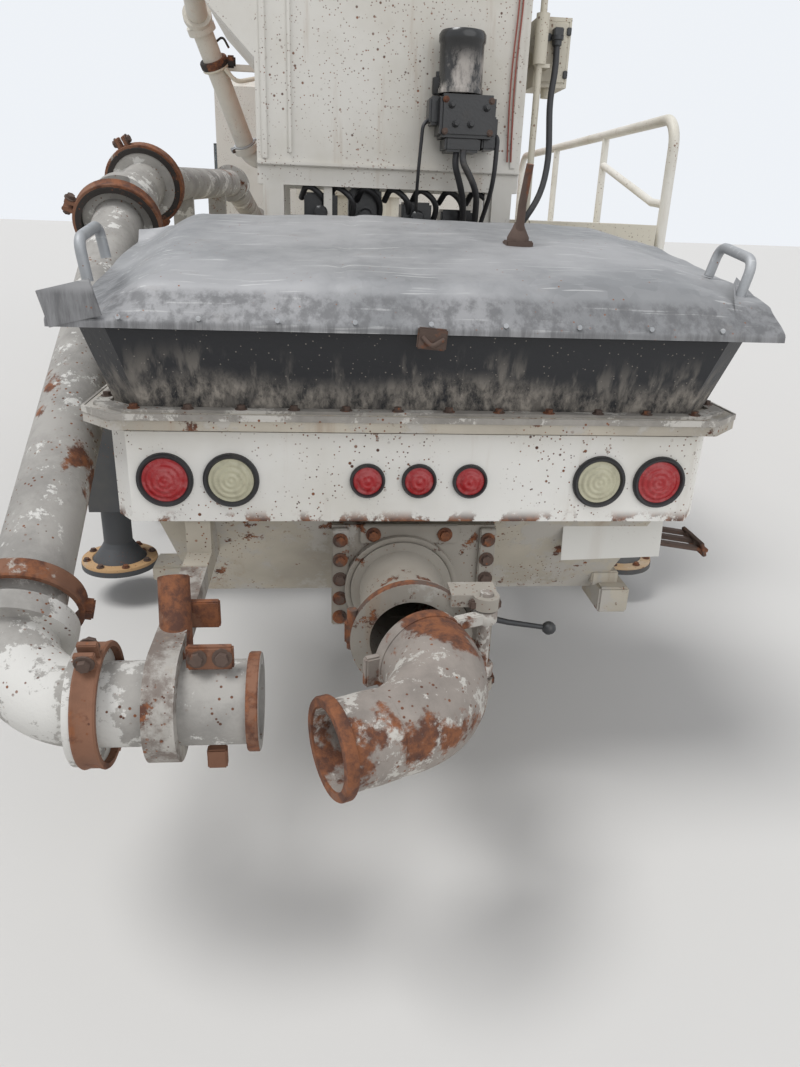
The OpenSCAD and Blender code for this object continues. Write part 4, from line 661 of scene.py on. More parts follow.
def thicken(holder, thickness, offset):
    """Give a sheet of faces its thickness; offset -1 is inward, 0 is to both sides."""
    shell = holder.modifiers.new("thickness", "SOLIDIFY")
    shell.thickness, shell.offset = thickness, offset


# %% [markdown]
# ## Bolts and rivets
# There are more than two hundred fasteners, all alike. Geometry Nodes place one head on
# every vertex of a small point mesh, which says where each one is and, in an attribute,
# which way it faces. Heads are turned at random about their own axes, as a fitter leaves
# them.


# %% Trees that copy one shape onto points
class Tree:
    """A Geometry Nodes tree that copies a shape onto the points of a mesh."""

    def __init__(self, name, inputs):
        self.tree = bpy.data.node_groups.new(name, "GeometryNodeTree")
        face = self.tree.interface
        face.new_socket("Geometry", in_out="INPUT", socket_type="NodeSocketGeometry")
        for label, kind, value in inputs:
            socket = face.new_socket(label, in_out="INPUT", socket_type="NodeSocket" + kind)
            socket.default_value = value
        face.new_socket("Material", in_out="INPUT", socket_type="NodeSocketMaterial")
        face.new_socket("Geometry", in_out="OUTPUT", socket_type="NodeSocketGeometry")
        self.given = self.tree.nodes.new("NodeGroupInput").outputs

    def node(self, kind, inputs=None, **settings):
        """Add a node; an input takes a value, an output of a node, or a list of outputs."""
        made = self.tree.nodes.new(kind)
        for label, value in settings.items():
            setattr(made, label, value)
        for key, value in (inputs or {}).items():
            for source in value if isinstance(value, list) else [value]:
                if isinstance(source, bpy.types.NodeSocket):
                    self.tree.links.new(source, made.inputs[key])
                else:
                    made.inputs[key].default_value = source
        return made.outputs

    def math(self, operation, first, second):
        return self.node("ShaderNodeMath", {0: first, 1: second}, operation=operation)[0]

    def spread(self, shape, **more):
        """Copy a shape onto the given points, make the copies real and paint them."""
        place = self.node("GeometryNodeInstanceOnPoints",
            {"Points": self.given["Geometry"], "Instance": shape, **more})
        real = self.node("GeometryNodeRealizeInstances", {0: place[0]})
        paint = self.node("GeometryNodeSetMaterial",
            {"Geometry": real[0], "Material": self.given["Material"]})
        self.node("NodeGroupOutput", {0: paint[0]})
        return self.tree


def fastener_tree():
    tree = Tree("fasteners", [("Head Width", "Float", 0.02), ("Head Height", "Float", 0.01),
        ("Sides", "Int", 6), ("Washer", "Float", 1.5), ("Seed", "Int", 3)])
    given = tree.given

    def standing_disc(radius, depth, sides):
        disc = tree.node("GeometryNodeMeshCylinder",
            {"Vertices": sides, "Radius": radius, "Depth": depth})
        up = tree.node("ShaderNodeCombineXYZ", {"Z": tree.math("MULTIPLY", depth, 0.5)})
        return tree.node("GeometryNodeTransform",
            {"Geometry": disc["Mesh"], "Translation": up[0]})[0]

    radius = tree.math("MULTIPLY", given["Head Width"], 0.5)
    head = standing_disc(radius, given["Head Height"], given["Sides"])
    washer = standing_disc(tree.math("MULTIPLY", radius, given["Washer"]),
        tree.math("MULTIPLY", given["Head Height"], 0.25), 14)
    both = tree.node("GeometryNodeJoinGeometry", {0: [head, washer]})
    facing = tree.node("GeometryNodeInputNamedAttribute", {"Name": "facing"},
        data_type="FLOAT_VECTOR")
    aim = tree.node("FunctionNodeAlignRotationToVector", {"Vector": facing["Attribute"]}, axis="Z")
    spin = tree.node("FunctionNodeRandomValue", {3: math.tau, "Seed": given["Seed"]})
    about = tree.node("FunctionNodeAxisAngleToRotation", {"Axis": UP, "Angle": spin[1]})
    both_turns = tree.node("FunctionNodeRotateRotation", {0: aim[0], 1: about[0]},
        rotation_space="LOCAL")
    return tree.spread(both[0], Rotation=both_turns[0])


FASTENERS = fastener_tree()


# %% Run a tree, and set rows of bolts with it
def run_tree(name, tree, start_mesh, inputs, material, body):
    """Run a tree on a mesh and keep the result as a plain piece."""
    start = bpy.data.objects.new(name + "_start", start_mesh)
    scene.collection.objects.link(start)
    step = start.modifiers.new("tree", "NODES")
    step.node_group = tree
    ids = {item.name: item.identifier for item in tree.interface.items_tree
        if item.in_out == "INPUT"}
    for label, value in {**inputs, "Material": material}.items():
        step[ids[label]] = value
    start.update_tag()
    bpy.context.view_layer.update()
    evaluated = start.evaluated_get(bpy.context.evaluated_depsgraph_get())
    made = bpy.data.meshes.new_from_object(evaluated)
    bpy.data.objects.remove(start)
    made.name = name
    made.materials.clear()
    made.materials.append(material)
    stand(name, made, body)
    print(name, len(made.polygons), "faces")


def bolts(name, places, body, width, height, sides=6, washer=1.5, material=clamp_rust):
    """places is a list of (point, facing)."""
    dots = bpy.data.meshes.new(name + "_points")
    dots.from_pydata([tuple(p) for p, _ in places], [], [])
    facing = dots.attributes.new("facing", "FLOAT_VECTOR", "POINT")
    for i, (_, way) in enumerate(places):
        facing.data[i].vector = Vector(way)
    sizes = {"Head Width": width, "Head Height": height, "Sides": sides, "Washer": washer}
    run_tree(name, FASTENERS, dots, sizes, material, body)


# %% [markdown]
# ## The lamps
# Each lamp is a domed plastic lens with moulded rings, pushed into a thick rubber ring.
# Turning one profile gives both. The outer pair is red, the next pair clear and yellowed
# by the sun, and the three small ones in the middle are red too.

# %% Rear lamps and head lamps
LAMP_Z, BIG_LAMPS_X, SMALL_LAMPS_X = 1.02, (-0.607, -0.452, 0.452, 0.607), (-0.126, 0.0, 0.126)
BIG_LAMP, SMALL_LAMP = 0.1335, 0.0865
HEAD_LAMP_X, HEAD_LAMP_Y, HEAD_LAMP_Z = 0.87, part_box("lamps")[1].y, 0.64


def lens_material(name, bright, dull):
    f = Finish(name)
    haze = f.clouds(38, 10, 0.72).rise(0.44, 0.66)
    tone = f.mix(bright, dull, haze*0.75)
    return f.skin(tone, 0.28 + haze*0.4, height=f.clouds(90, 4), depth=0.0005)


red_lens = lens_material("red_lens", (0.36, 0.012, 0.016), (0.45, 0.13, 0.13))
clear_lens = lens_material("clear_lens", (0.52, 0.50, 0.36), (0.40, 0.38, 0.27))


def rear_lamp(rubber, lens, x, outer, waves):
    """A rubber ring of the given outer diameter, and a lens with moulded waves in it."""
    r = outer/2
    profile = [(r*0.72, 0.0), (r, 0.0), (r, 0.004), (r*0.985, 0.009), (r*0.93, 0.013),
        (r*0.87, 0.0125), (r*0.82, 0.008), (r*0.795, 0.004), (r*0.72, 0.004), (r*0.72, 0.0)]
    lathe(rubber, profile, at(x, 0, LAMP_Z), BEHIND, 48)
    r = outer*0.5*0.80
    profile = [(r, -0.02)]
    for k in range(29):
        t = 1 - k/28
        ripple = 0.0011*math.cos(t*waves*math.tau)
        profile.append((r*t, 0.0045 + 0.0085*(1 - t*t) + ripple))
    lathe(lens, profile, at(x, 0, LAMP_Z), BEHIND, 48)


rings, reds, clears = bmesh.new(), bmesh.new(), bmesh.new()
for x in BIG_LAMPS_X:
    rear_lamp(rings, reds if abs(x) > 0.5 else clears, x, BIG_LAMP, 4)
for x in SMALL_LAMPS_X:
    rear_lamp(rings, reds, x, SMALL_LAMP, 2)
for side, _ in BOTH_SIDES:
    head_lamp = (side*HEAD_LAMP_X, HEAD_LAMP_Y, HEAD_LAMP_Z)
    lathe(rings, [(0.073, -0.022), (0.073, -0.002), (0.069, 0.0), (0.066, -0.003), (0.066, -0.022)],
        head_lamp, AHEAD)
    lathe(clears, [(0.066, -0.02), (0.066, -0.006), (0.05, -0.003), (0.025, -0.001), (0, -0.0005)],
        head_lamp, AHEAD)
piece("lamp_rubber_rings", rings, black_rubber, "truck", 30, ("lamps",))
piece("red_lamp_lenses", reds, red_lens, "truck", 60)
piece("clear_lamp_lenses", clears, clear_lens, "truck", 60)

# %% [markdown]
# ## The sheet cover
# The cover is thin galvanised sheet that has been stood on, bent and knocked straight
# again for years. It is one grid of points: a profile from the lower rear lip over the
# ridge to the hinge, bowed up in the middle, dropped at both ends, with small dents from
# noise and large ones from a table.

# %% The dented cover
COVER_HALF, COVER_REAR, COVER_RIDGE, COVER_FRONT = 0.81, -0.09, 0.0, 0.908
LIP_LOW, LIP_HIGH, RIDGE_Z, TOP_Z = 1.382, 1.398, 1.474, 1.598
COLUMNS, ROWS = 110, 72
# Share of the way from the rear lip to the front one, station, height.
COVER_KNOTS = [(0.0, COVER_REAR, LIP_LOW), (0.05, COVER_REAR + 0.001, LIP_HIGH),
    (0.24, COVER_RIDGE, RIDGE_Z), (0.30, 0.05, RIDGE_Z + 0.014), (0.62, 0.5, 1.552),
    (0.9, COVER_FRONT - 0.03, TOP_Z), (0.93, COVER_FRONT, TOP_Z - 0.02),
    (1.0, COVER_FRONT, LIP_LOW)]
# Across, station, radius, depth; a depth below zero goes down.
COVER_DENTS = [(-0.42, 0.02, 0.16, -0.008), (0.02, 0.10, 0.2, -0.007), (0.36, 0.0, 0.13, 0.006),
    (-0.66, 0.1, 0.09, -0.012), (0.66, 0.08, 0.12, -0.009), (0.28, 0.46, 0.12, -0.009)]


def cover_profile(t):
    """Station and height along the profile, t from the rear lip to the front lip."""
    for a, b in zip(COVER_KNOTS, COVER_KNOTS[1:]):
        if t <= b[0]:
            u = (t - a[0])/(b[0] - a[0])
            return a[1] + (b[1] - a[1])*u, a[2] + (b[2] - a[2])*u


def ease(a, b, value):
    """0 below a, 1 above b, smooth between."""
    u = min(1.0, max(0.0, (value - a)/(b - a)))
    return u*u*(3 - 2*u)


def cover_point(u, t):
    """A point of the cover, u across from -1 to 1, t forward from 0 to 1."""
    x = COVER_HALF*u
    station, z = cover_profile(t)
    top = ease(0.05, 0.24, t)*(1 - ease(0.9, 0.95, t))
    end = ease(0.74, 1.0, abs(u))
    z -= top*end*(0.085 if u < 0 else 0.035)
    z += top*(0.012*(1 - u*u) + 0.012*u*(1 - t))
    where = Vector((x*2.1, station*2.6, 3.7))
    dent = noise.noise(where)*0.011 + noise.noise(where*2.7)*0.005 + noise.noise(where*6.5)*0.0016
    for dent_x, dent_station, radius, depth in COVER_DENTS:
        away = math.hypot(x - dent_x, station - dent_station)/radius
        dent += depth*max(0.0, 1 - away*away)
    crease = abs(u + 0.28 - 0.12*t)
    dent -= 0.005*max(0.0, 1 - crease/0.03)*top
    z += dent*top - 0.006*abs(noise.noise(Vector((x*5, 0, 1))))*(1 - top)
    wave = 0.0035*noise.noise(Vector((x*6, 1.3, 0)))*(1 - ease(0.0, 0.2, t))
    return at(x, station + wave + (0.002 if t < 0.3 else 0), max(z, LIP_LOW))


cover = bmesh.new()
grid = sheet(cover, COLUMNS, ROWS, lambda i, j: cover_point(2*i/COLUMNS - 1, j/ROWS))
# Each end is closed by a skirt down to the lip's height.
for column in (grid[0], grid[-1]):
    upper = column[1:-1]
    lower = [cover.verts.new((v.co.x, v.co.y, LIP_LOW)) for v in upper]
    for k in range(len(upper) - 1):
        if upper[k].co.z > LIP_LOW + 0.002 and upper[k + 1].co.z > LIP_LOW + 0.002:
            cover.faces.new((upper[k], upper[k + 1], lower[k + 1], lower[k]))
thicken(piece("cover_sheet", cover, cover_sheet, "cover", 50, ("hopper_cover",)), 0.003, -1)

# %% [markdown]
# ## Fittings of the cover
# Two handles, a latch and the stub of a post are bent bar and small plates. They ride on
# the cover, so they lift with it. The hinge knuckles are turned with a bore, so that they
# go round the pin without cutting into it.

# %% Cover fittings: folded corner, handles, latch, stub post, hinge knuckles
folds = bmesh.new()
block(folds, at(-0.812, -0.088, 1.392), at(-0.70, -0.080, 1.468), 0.001, turned(-14, "Y"))
flap = [at(0.70, -0.075, 1.40), at(0.815, -0.02, 1.425), at(0.812, 0.19, 1.50),
    at(0.72, 0.02, 1.495)]
slab(folds, flap, [p + Vector((0, 0.003, 0.004)) for p in flap])
piece("cover_folds", folds, cover_sheet, "cover")

handles = bmesh.new()
for x, lean in ((-0.755, -0.012), (0.765, 0.02)):
    tube(handles, rounded([at(x, 0.07, 1.46), at(x + lean, 0.07, 1.55), at(x + lean, 0.25, 1.575),
        at(x, 0.25, 1.50)], 0.035), 0.0125)
piece("cover_handles", handles, zinc_skin, "cover")

fitting = bmesh.new()
tube(fitting, [at(0.297, 0.44, 1.53), at(0.299, 0.43, 1.66), at(0.306, 0.41, 1.755)],
    [0.013, 0.011, 0.010])
block(fitting, at(0.262, 0.415, 1.548), at(0.335, 0.475, 1.566), 0.003)
lathe(fitting, [(0.03, 0), (0.03, 0.012), (0.018, 0.035), (0.012, 0.05)],
    at(0.298, 0.445, 1.562), UP, 20)
block(fitting, at(-0.03, -0.100, 1.352), at(0.035, -0.086, 1.398), 0.003, turned(4, "Y"))
tube(fitting, rounded([at(-0.02, -0.1, 1.38), at(0.0, -0.108, 1.36), at(0.028, -0.1, 1.375)], 0.01),
    0.005)
piece("cover_latch_and_post", fitting, clamp_rust, "cover")

HINGE_STATION, HINGE_Z, KNUCKLE_HALF = 0.945, 1.5, 0.012
knuckles = bmesh.new()
for hinge_x in (-0.6, 0.0, 0.6):
    for side, _ in BOTH_SIDES:
        x = hinge_x + side*0.033
        lathe(knuckles, [(0.0121, -KNUCKLE_HALF), (0.023, -KNUCKLE_HALF), (0.023, KNUCKLE_HALF),
            (0.0121, KNUCKLE_HALF), (0.0121, -KNUCKLE_HALF)], at(x, HINGE_STATION, HINGE_Z), RIGHT,
            28)
        block(knuckles, at(x - KNUCKLE_HALF, 0.906, HINGE_Z - 0.012),
            at(x + KNUCKLE_HALF, 0.924, HINGE_Z + 0.012), 0.001)
piece("cover_hinge_knuckles", knuckles, clamp_rust, "cover")
rivets = [(at(-0.66 + 0.165*k, COVER_REAR + 0.005, 1.405), (0, -1, 0.2)) for k in range(9)]
bolts("cover_rivets", rivets, "cover", 0.011, 0.004, 10, 1.0, zinc_skin)

# %% [markdown]
# ## The swing elbow
# The casting narrows from the outlet to the pipe as it turns through a right angle. The
# same rule as in the solid gives the rings, with a slight swell in the middle, and the
# piece is swung open about its hinge pin by 22 degrees.

# %% Rings of the swing elbow
OUTLET_X, OUTLET_Z = -0.03, 0.71
PIN = at(0.135, -0.247, OUTLET_Z)
OPEN = Matrix.Translation(PIN) @ turned(22, "Z").to_4x4() @ Matrix.Translation(-PIN)
BEND_R, MOUTH_STATION = 0.200, -0.269
OUTLET_D, PIPE_D, ELBOW_WALL = 0.219, 0.168, 0.011
ELBOW_RINGS, ELBOW_SIDES = 30, 64


def elbow_ring(mesh, t, extra):
    """A ring of the bend at t from 0 to 1, with a radius changed by extra."""
    angle = t*math.pi/2
    radius = (OUTLET_D + (PIPE_D - OUTLET_D)*t)/2 + 0.007*math.sin(math.pi*t) + extra
    heart = at(OUTLET_X, MOUTH_STATION - 0.1, OUTLET_Z)
    made = []
    for a in round_about(ELBOW_SIDES):
        reach = BEND_R + radius*math.cos(a)
        spot = at(OUTLET_X - BEND_R + reach*math.cos(angle), MOUTH_STATION - reach*math.sin(angle),
            OUTLET_Z + radius*math.sin(a))
        pits = 0 if extra else noise.noise(spot*24)*0.0016 + noise.noise(spot*60)*0.0007
        made.append(mesh.verts.new(OPEN @ (spot + (spot - heart).normalized()*pits)))
    return made


elbow = bmesh.new()
outside, inside = ([elbow_ring(elbow, k/ELBOW_RINGS, extra) for k in range(ELBOW_RINGS + 1)]
    for extra in (0.0, -ELBOW_WALL))
for shell in (outside, inside):
    for first, second in zip(shell, shell[1:]):
        join_rows(elbow, first, second)
for end in (0, -1):
    join_rows(elbow, outside[end], inside[end])


# %% [markdown]
# ## Flanges and lugs of the elbow
# The flanges are plain to build while the elbow is closed and square to the truck. Each
# part is made there and then turned about the pin, which is simpler than working out its
# place in the open position.

# %% Parts that swing with the elbow
def swung(mesh, make, *what):
    """Make a part in the closed position and add it swung open."""
    part = bmesh.new()
    make(part, *what)
    bmesh.ops.transform(part, matrix=OPEN, verts=part.verts)
    add_mesh(mesh, part)


RING_BORE, PIPE_BORE = 0.0985, 0.076
MOUTH, LEFT = at(OUTLET_X, MOUTH_STATION, OUTLET_Z), (-1, 0, 0)
PIPE_END = at(OUTLET_X - BEND_R, MOUTH_STATION - BEND_R, OUTLET_Z)
swung(elbow, lathe, [(RING_BORE, -0.002), (RING_BORE, 0.028), (0.112, 0.028), (0.1145, 0.024),
    (0.1145, 0.004), (0.112, -0.002), (RING_BORE, -0.002)], MOUTH, AHEAD, 64)
swung(elbow, lathe, [(PIPE_BORE, -0.006), (0.087, -0.006), (0.0885, 0.03), (0.087, 0.09),
    (0.0875, 0.0915), (0.0955, 0.0925), (0.0965, 0.096), (0.0965, 0.112), (0.094, 0.115),
    (0.081, 0.115), (0.0775, 0.110), (PIPE_BORE, 0.09), (PIPE_BORE, -0.006)], PIPE_END, LEFT, 64)
for way in (-1, 1):
    z = OUTLET_Z + way*0.070
    swung(elbow, lathe, [(0.0, -0.015), (0.026, -0.015), (0.028, -0.012), (0.028, 0.012),
        (0.026, 0.015), (0.0, 0.015)], at(0.135, -0.247, z), UP, 32)
    swung(elbow, block, at(0.05, -0.268, z - 0.014), at(0.134, -0.243, z + 0.014), 0.003)
swung(elbow, block, at(-0.172, -0.266, 0.675), at(-0.125, -0.245, 0.745), 0.004)
swung(elbow, lathe, [(0.0, -0.128), (0.0149, -0.128), (0.0149, 0.128), (0.0, 0.128)], PIN, UP, 28)
piece("swing_elbow", elbow, elbow_skin, "elbow", 36, ("outlet_elbow",))
end_ring = bmesh.new()
swung(end_ring, lathe, [(0.0955, 0.092), (0.0985, 0.096), (0.0985, 0.112), (0.0955, 0.1158),
    (0.0800, 0.1158), (0.0785, 0.112), (0.0805, 0.100), (0.0955, 0.092)], PIPE_END, LEFT, 64)
piece("elbow_end_ring", end_ring, rusty_ring, "elbow")

# %% [markdown]
# ## Hopper rim and valve housing
# The rubber collar is clamped to the hopper's rim by a flat steel strip with a row of
# bolts. Below the lamp panel the valve housing is held by two bolted strips, with short
# plates between them, all of it thick with old cement.

# %% Clamp strip on the rim
RIM_HALF, RIM_TOP = 0.785, 1.190


def rim_plan(inset):
    """The rim's outline from its left front corner round the rear to the right one."""
    half = RIM_HALF - inset
    corner = half - 0.08
    rear, bend, front = -0.06 + inset, 0.02 + inset*0.6, 0.90
    return [(-half, front), (-half, bend), (-corner, rear), (corner, rear), (half, bend),
        (half, front)]


def rim_band(mesh, outer, inner, low, high):
    """A flat strip between two insets of the rim, from one height to another."""
    rows = [[mesh.verts.new(at(x, s, z)) for x, s in rim_plan(inset)]
        for inset, z in ((outer, low), (outer, high), (inner, high), (inner, low))]
    join_strip(mesh, rows)
    for end in (0, -1):
        mesh.faces.new([row[end] for row in rows])


rim = bmesh.new()
rim_band(rim, 0.022, 0.055, RIM_TOP - 0.001, RIM_TOP + 0.007)
rim_band(rim, -0.002, 0.004, RIM_TOP - 0.012, RIM_TOP + 0.002)
piece("rim_clamp_strip", rim, cement_crust, "truck")
rim_spots = [(-0.66 + 0.12*k, -0.022) for k in range(12)]
rim_spots += [(side*(RIM_HALF - 0.038), 0.1 + 0.15*k) for side, _ in BOTH_SIDES for k in range(6)]
bolts("rim_bolts", [(at(x, s, RIM_TOP + 0.006), UP) for x, s in rim_spots], "truck", 0.019, 0.011)

# %% Valve housing strips, clamp ring and shut-off lever
FACE = 0.060
housing = bmesh.new()
STRIPS = [(-0.212, -0.168, -0.016, 0.60, 0.875), (0.172, 0.214, -0.016, 0.60, 0.875),
    (-0.14, 0.115, -0.010, 0.832, 0.884), (-0.165, 0.17, -0.006, 0.594, 0.618)]
for x0, x1, s0, z0, z1 in STRIPS:
    block(housing, at(x0, FACE + s0, z0), at(x1, FACE + 0.01, z1), 0.003)
lathe(housing, [(0.134, -0.022), (0.1335, 0.004), (0.139, 0.008), (0.148, 0.008), (0.148, -0.022)],
    at(OUTLET_X, FACE - 0.02, OUTLET_Z), BEHIND, 56)
piece("housing_strips", housing, housing_paint_and_shade, "truck")
strip_bolts = [(at(x, FACE - 0.016, 0.845 - 0.055*k), BEHIND)
    for x in (-0.190, 0.193) for k in range(5)]
strip_bolts += [(at(x, FACE - 0.010, 0.858), BEHIND) for x in (-0.105, 0.08)]
bolts("housing_bolts", strip_bolts, "truck", 0.026, 0.014)

outlet = bmesh.new()
lathe(outlet, [(0.0975, -0.0003), (0.1425, -0.0003), (0.1432, -0.004), (0.1432, -0.024),
    (0.138, -0.030), (0.128, -0.031)], at(OUTLET_X, -0.235, OUTLET_Z), BEHIND, 64)
for z in (0.60, 0.80):
    block(outlet, at(0.095, -0.262, z), at(0.168, -0.205, z + 0.022), 0.004)
block(outlet, at(-0.185, -0.232, 0.70), at(-0.135, -0.208, 0.755), 0.004)
lathe(outlet, [(0.0, -0.05), (0.012, -0.05), (0.012, 0.05), (0.0, 0.05)], at(-0.168, -0.222, 0.735),
    UP, 16)
piece("outlet_clamp_ring", outlet, clamp_rust, "truck")

lever = bmesh.new()
tube(lever, [at(0.17, 0.075, 0.612), at(0.27, 0.055, 0.596), at(0.365, 0.045, 0.585)],
    [0.010, 0.008, 0.007])
lathe(lever, [(0.0, -0.019), (0.012, -0.015), (0.018, -0.006), (0.019, 0.002), (0.016, 0.011),
    (0.009, 0.018), (0.0, 0.02)], at(0.382, 0.043, 0.583), (1, 0, -0.05), 20)
block(lever, at(0.165, 0.06, 0.595), at(0.195, 0.10, 0.63), 0.004)
piece("shut_off_lever", lever, black_plastic, "truck")

# %% [markdown]
# ## What hangs below the hopper
# A plate without any lettering hangs from two bent strips, and beside it is a step that
# has been knocked out of line. Blocks turned by a few degrees show that.

# %% Foot tube, bare plate and bent step
foot = bmesh.new()
block(foot, at(0.575, 0.20, 0.545), at(0.665, 0.36, 0.625), 0.006)
block(foot, at(0.560, 0.24, 0.615), at(0.64, 0.32, 0.66), 0.004)
block(foot, at(-0.70, 0.20, 0.66), at(-0.60, 0.30, 0.70), 0.004)
piece("hopper_foot", foot, hopper_paint_and_shade, "truck")
plate = block(bmesh.new(), at(0.412, 0.108, 0.762), at(0.690, 0.1105, 0.898), 0.0008,
    turned(-2.2, "Y"))
piece("bare_plate", plate, plate_paint, "truck")
hangers = bmesh.new()
for x in (0.47, 0.63):
    block(hangers, at(x, 0.1105, 0.80), at(x + 0.025, 0.118, 0.98), 0.001)
    block(hangers, at(x, 0.028, 0.96), at(x + 0.025, 0.118, 0.98), 0.001)
piece("plate_hangers", hangers, clamp_rust, "truck")

step = bmesh.new()
for k, s in enumerate((0.33, 0.385, 0.44)):
    block(step, at(0.70, s, 0.700 + 0.004*k), at(0.955, s + 0.028, 0.712 + 0.004*k), 0.002,
        turned(9, "Y"))
block(step, at(0.705, 0.33, 0.672), at(0.717, 0.47, 0.735), 0.002)
block(step, at(0.93, 0.325, 0.668), at(0.942, 0.47, 0.715), 0.002, turned(-20, "Y"))
for s in (0.345, 0.445):
    block(step, at(0.60, s, 0.70), at(0.72, s + 0.014, 0.725), 0.002)
piece("bent_step", step, clamp_rust, "truck")

# %% [markdown]
# ## Pipe clamps
# Each joint of the line has a two-part clamp: two half rings with a hinge on one side and
# a bolt through two ears on the other. The solid has plain rings there. Each gets a ring
# with raised edges over it, ears, bolts and a hinge, placed by the pipe's direction.


# %% Clamps on the delivery line
def clamp(mesh, heads, centre, along, bolt_side, radius, width=0.046):
    """A ring round the direction along, with its ears on the bolt's side."""
    centre, along, out = Vector(centre), Vector(along).normalized(), Vector(bolt_side).normalized()
    out = (out - along*out.dot(along)).normalized()
    across = along.cross(out)
    placed = Matrix((along, out, across)).transposed()

    def lump(spot, half_size, wear):
        block(mesh, spot - half_size, spot + half_size, wear, placed)

    for way in (-1, 1):
        ear = centre + out*(radius + 0.016) + across*(way*0.014)
        lump(ear, Vector((width*0.42, 0.022, 0.007)), 0.002)
        heads.append((centre + out*(radius + 0.022) + across*(way*0.021), across*way))
    lump(centre - out*(radius + 0.008), Vector((width*0.45, 0.014, 0.016)), 0.004)
    half, high = width/2, radius + 0.006
    lathe(mesh, [(radius - 0.006, -half), (high - 0.002, -half), (high, -half + 0.004),
        (high - 0.003, -half + 0.014), (high - 0.003, half - 0.014), (high, half - 0.004),
        (high - 0.002, half), (radius - 0.006, half), (radius - 0.006, -half)], centre, along, 56)


LINE_STATION, PIPE_RING, BLACK_RING = -0.469, 0.119, 0.143
PIPE_LEAN = Vector((-0.087, 1.759, 0.880)).normalized()
JOINTS = [((-0.672, LINE_STATION, OUTLET_Z), RIGHT, (0, -0.3, 1), PIPE_RING),
    ((-0.872, -0.245, 0.822), PIPE_LEAN, (-1, 0, 0.3), PIPE_RING),
    ((-0.943, 1.22, 1.555), PIPE_LEAN, (-1, 0, 0.5), BLACK_RING),
    ((-0.925, 1.64, 1.69), (0.05, 0.95, 0.28), (-0.4, 0, 1), BLACK_RING)]
clamp_parts, black_rings, clamp_bolts = bmesh.new(), bmesh.new(), []
for spot, way, bolt_side, radius in JOINTS:
    clamp(clamp_parts, clamp_bolts, at(*spot), way, bolt_side, radius)
    if radius == BLACK_RING:
        band_ring(black_rings, at(*spot), way, 0.1195, 0.137, radius, 0.026, 0.018, 56)
piece("black_clamp_rings", black_rings, black_clamp, "truck")

# %% Bracket at the open end of the line
BRACKET_X = -0.45
block(clamp_parts, at(BRACKET_X - 0.02, LINE_STATION - 0.012, 0.555),
    at(BRACKET_X + 0.02, LINE_STATION + 0.012, 0.60), 0.003)
block(clamp_parts, at(BRACKET_X - 0.045, LINE_STATION - 0.03, 0.80),
    at(BRACKET_X + 0.045, LINE_STATION - 0.012, 0.85), 0.004)
clamp_bolts += [(at(BRACKET_X + dx, LINE_STATION - 0.03, 0.828), (0, -1, 0.1))
    for dx in (-0.024, 0.024)]
for radius in (0.033, 0.027):
    tube(clamp_parts, [at(-0.545, -0.30, 0.905), at(-0.53, -0.40, 0.76)], radius, 24, False)
block(clamp_parts, at(-0.53, -0.33, 0.80), at(BRACKET_X, -0.31, 0.86), 0.003)
lathe(clamp_parts, [(0.0845, -0.0005), (0.0965, -0.0005), (0.0985, -0.003), (0.0985, -0.021),
    (0.0965, -0.024), (0.0845, -0.024), (0.0845, -0.0005)], at(-0.357, LINE_STATION, OUTLET_Z),
    RIGHT, 56)
piece("pipe_clamps", clamp_parts, rusty_ring, "truck")
bolts("clamp_bolts", clamp_bolts, "truck", 0.026, 0.014)

# %% [markdown]
# ## Grease pump, control box and what hangs from them
# The grease pump has a dark reservoir with a pale smear on it, a black casting with ports,
# and hoses. The box beside it feeds one thick black hose that loops down behind the cover;
# the length of the path it is built on is printed.

# %% Grease pump
PUMP_X, TANK_STATION = 0.218, 1.2
f = Finish("reservoir_skin")
smear = f.clouds(12, 8, 0.7, stretch=(1, 1, 0.5)).rise(0.44, 0.62)*f.z.rise(2.13, 2.07)
reservoir_skin = f.skin(f.mix((0.022, 0.022, 0.022), (0.36, 0.33, 0.30), smear), 0.22 + smear*0.4)
jar = lathe(bmesh.new(), [(0, 1.992), (0.0765, 1.992), (0.0765, 2.004), (0.072, 2.010),
    (0.072, 2.135), (0.0765, 2.142), (0.0765, 2.162), (0.070, 2.172), (0.04, 2.178), (0, 2.179)],
    at(PUMP_X, TANK_STATION - 0.078, 0), UP, 48)
piece("grease_reservoir", jar, reservoir_skin, "truck")

PUMP_REAR = 1.052
casting = bmesh.new()
block(casting, at(0.148, PUMP_REAR, 1.86), at(0.332, 1.199, 1.988), 0.010)
block(casting, at(0.118, 1.11, 1.90), at(0.16, TANK_STATION, 1.985), 0.008)
block(casting, at(0.170, 1.07, 1.818), at(0.29, TANK_STATION, 1.865), 0.008)
block(casting, at(0.300, 1.10, 1.83), at(0.350, 1.19, 1.93), 0.006)
lathe(casting, [(0.0, -0.05), (0.020, -0.05), (0.023, -0.045), (0.023, 0.0), (0.012, 0.004),
    (0.012, 0.018), (0.0, 0.018)], at(0.150, 1.14, 2.04), UP, 24)
for x, z in ((0.20, 1.90), (0.25, 1.90), (0.30, 1.95), (0.185, 1.955)):
    lathe(casting, [(0.011, -0.004), (0.011, 0.010), (0.007, 0.012), (0.007, 0.024), (0.0, 0.024)],
        at(x, PUMP_REAR, z), BEHIND, 12)
piece("grease_pump_casting", casting, oily_black, "truck", 38, ("grease_pump",))
pump_bolts = [(at(x, PUMP_REAR, z), BEHIND) for x in (0.165, 0.315) for z in (1.877, 1.97)]
bolts("grease_pump_bolts", pump_bolts, "truck", 0.014, 0.007)

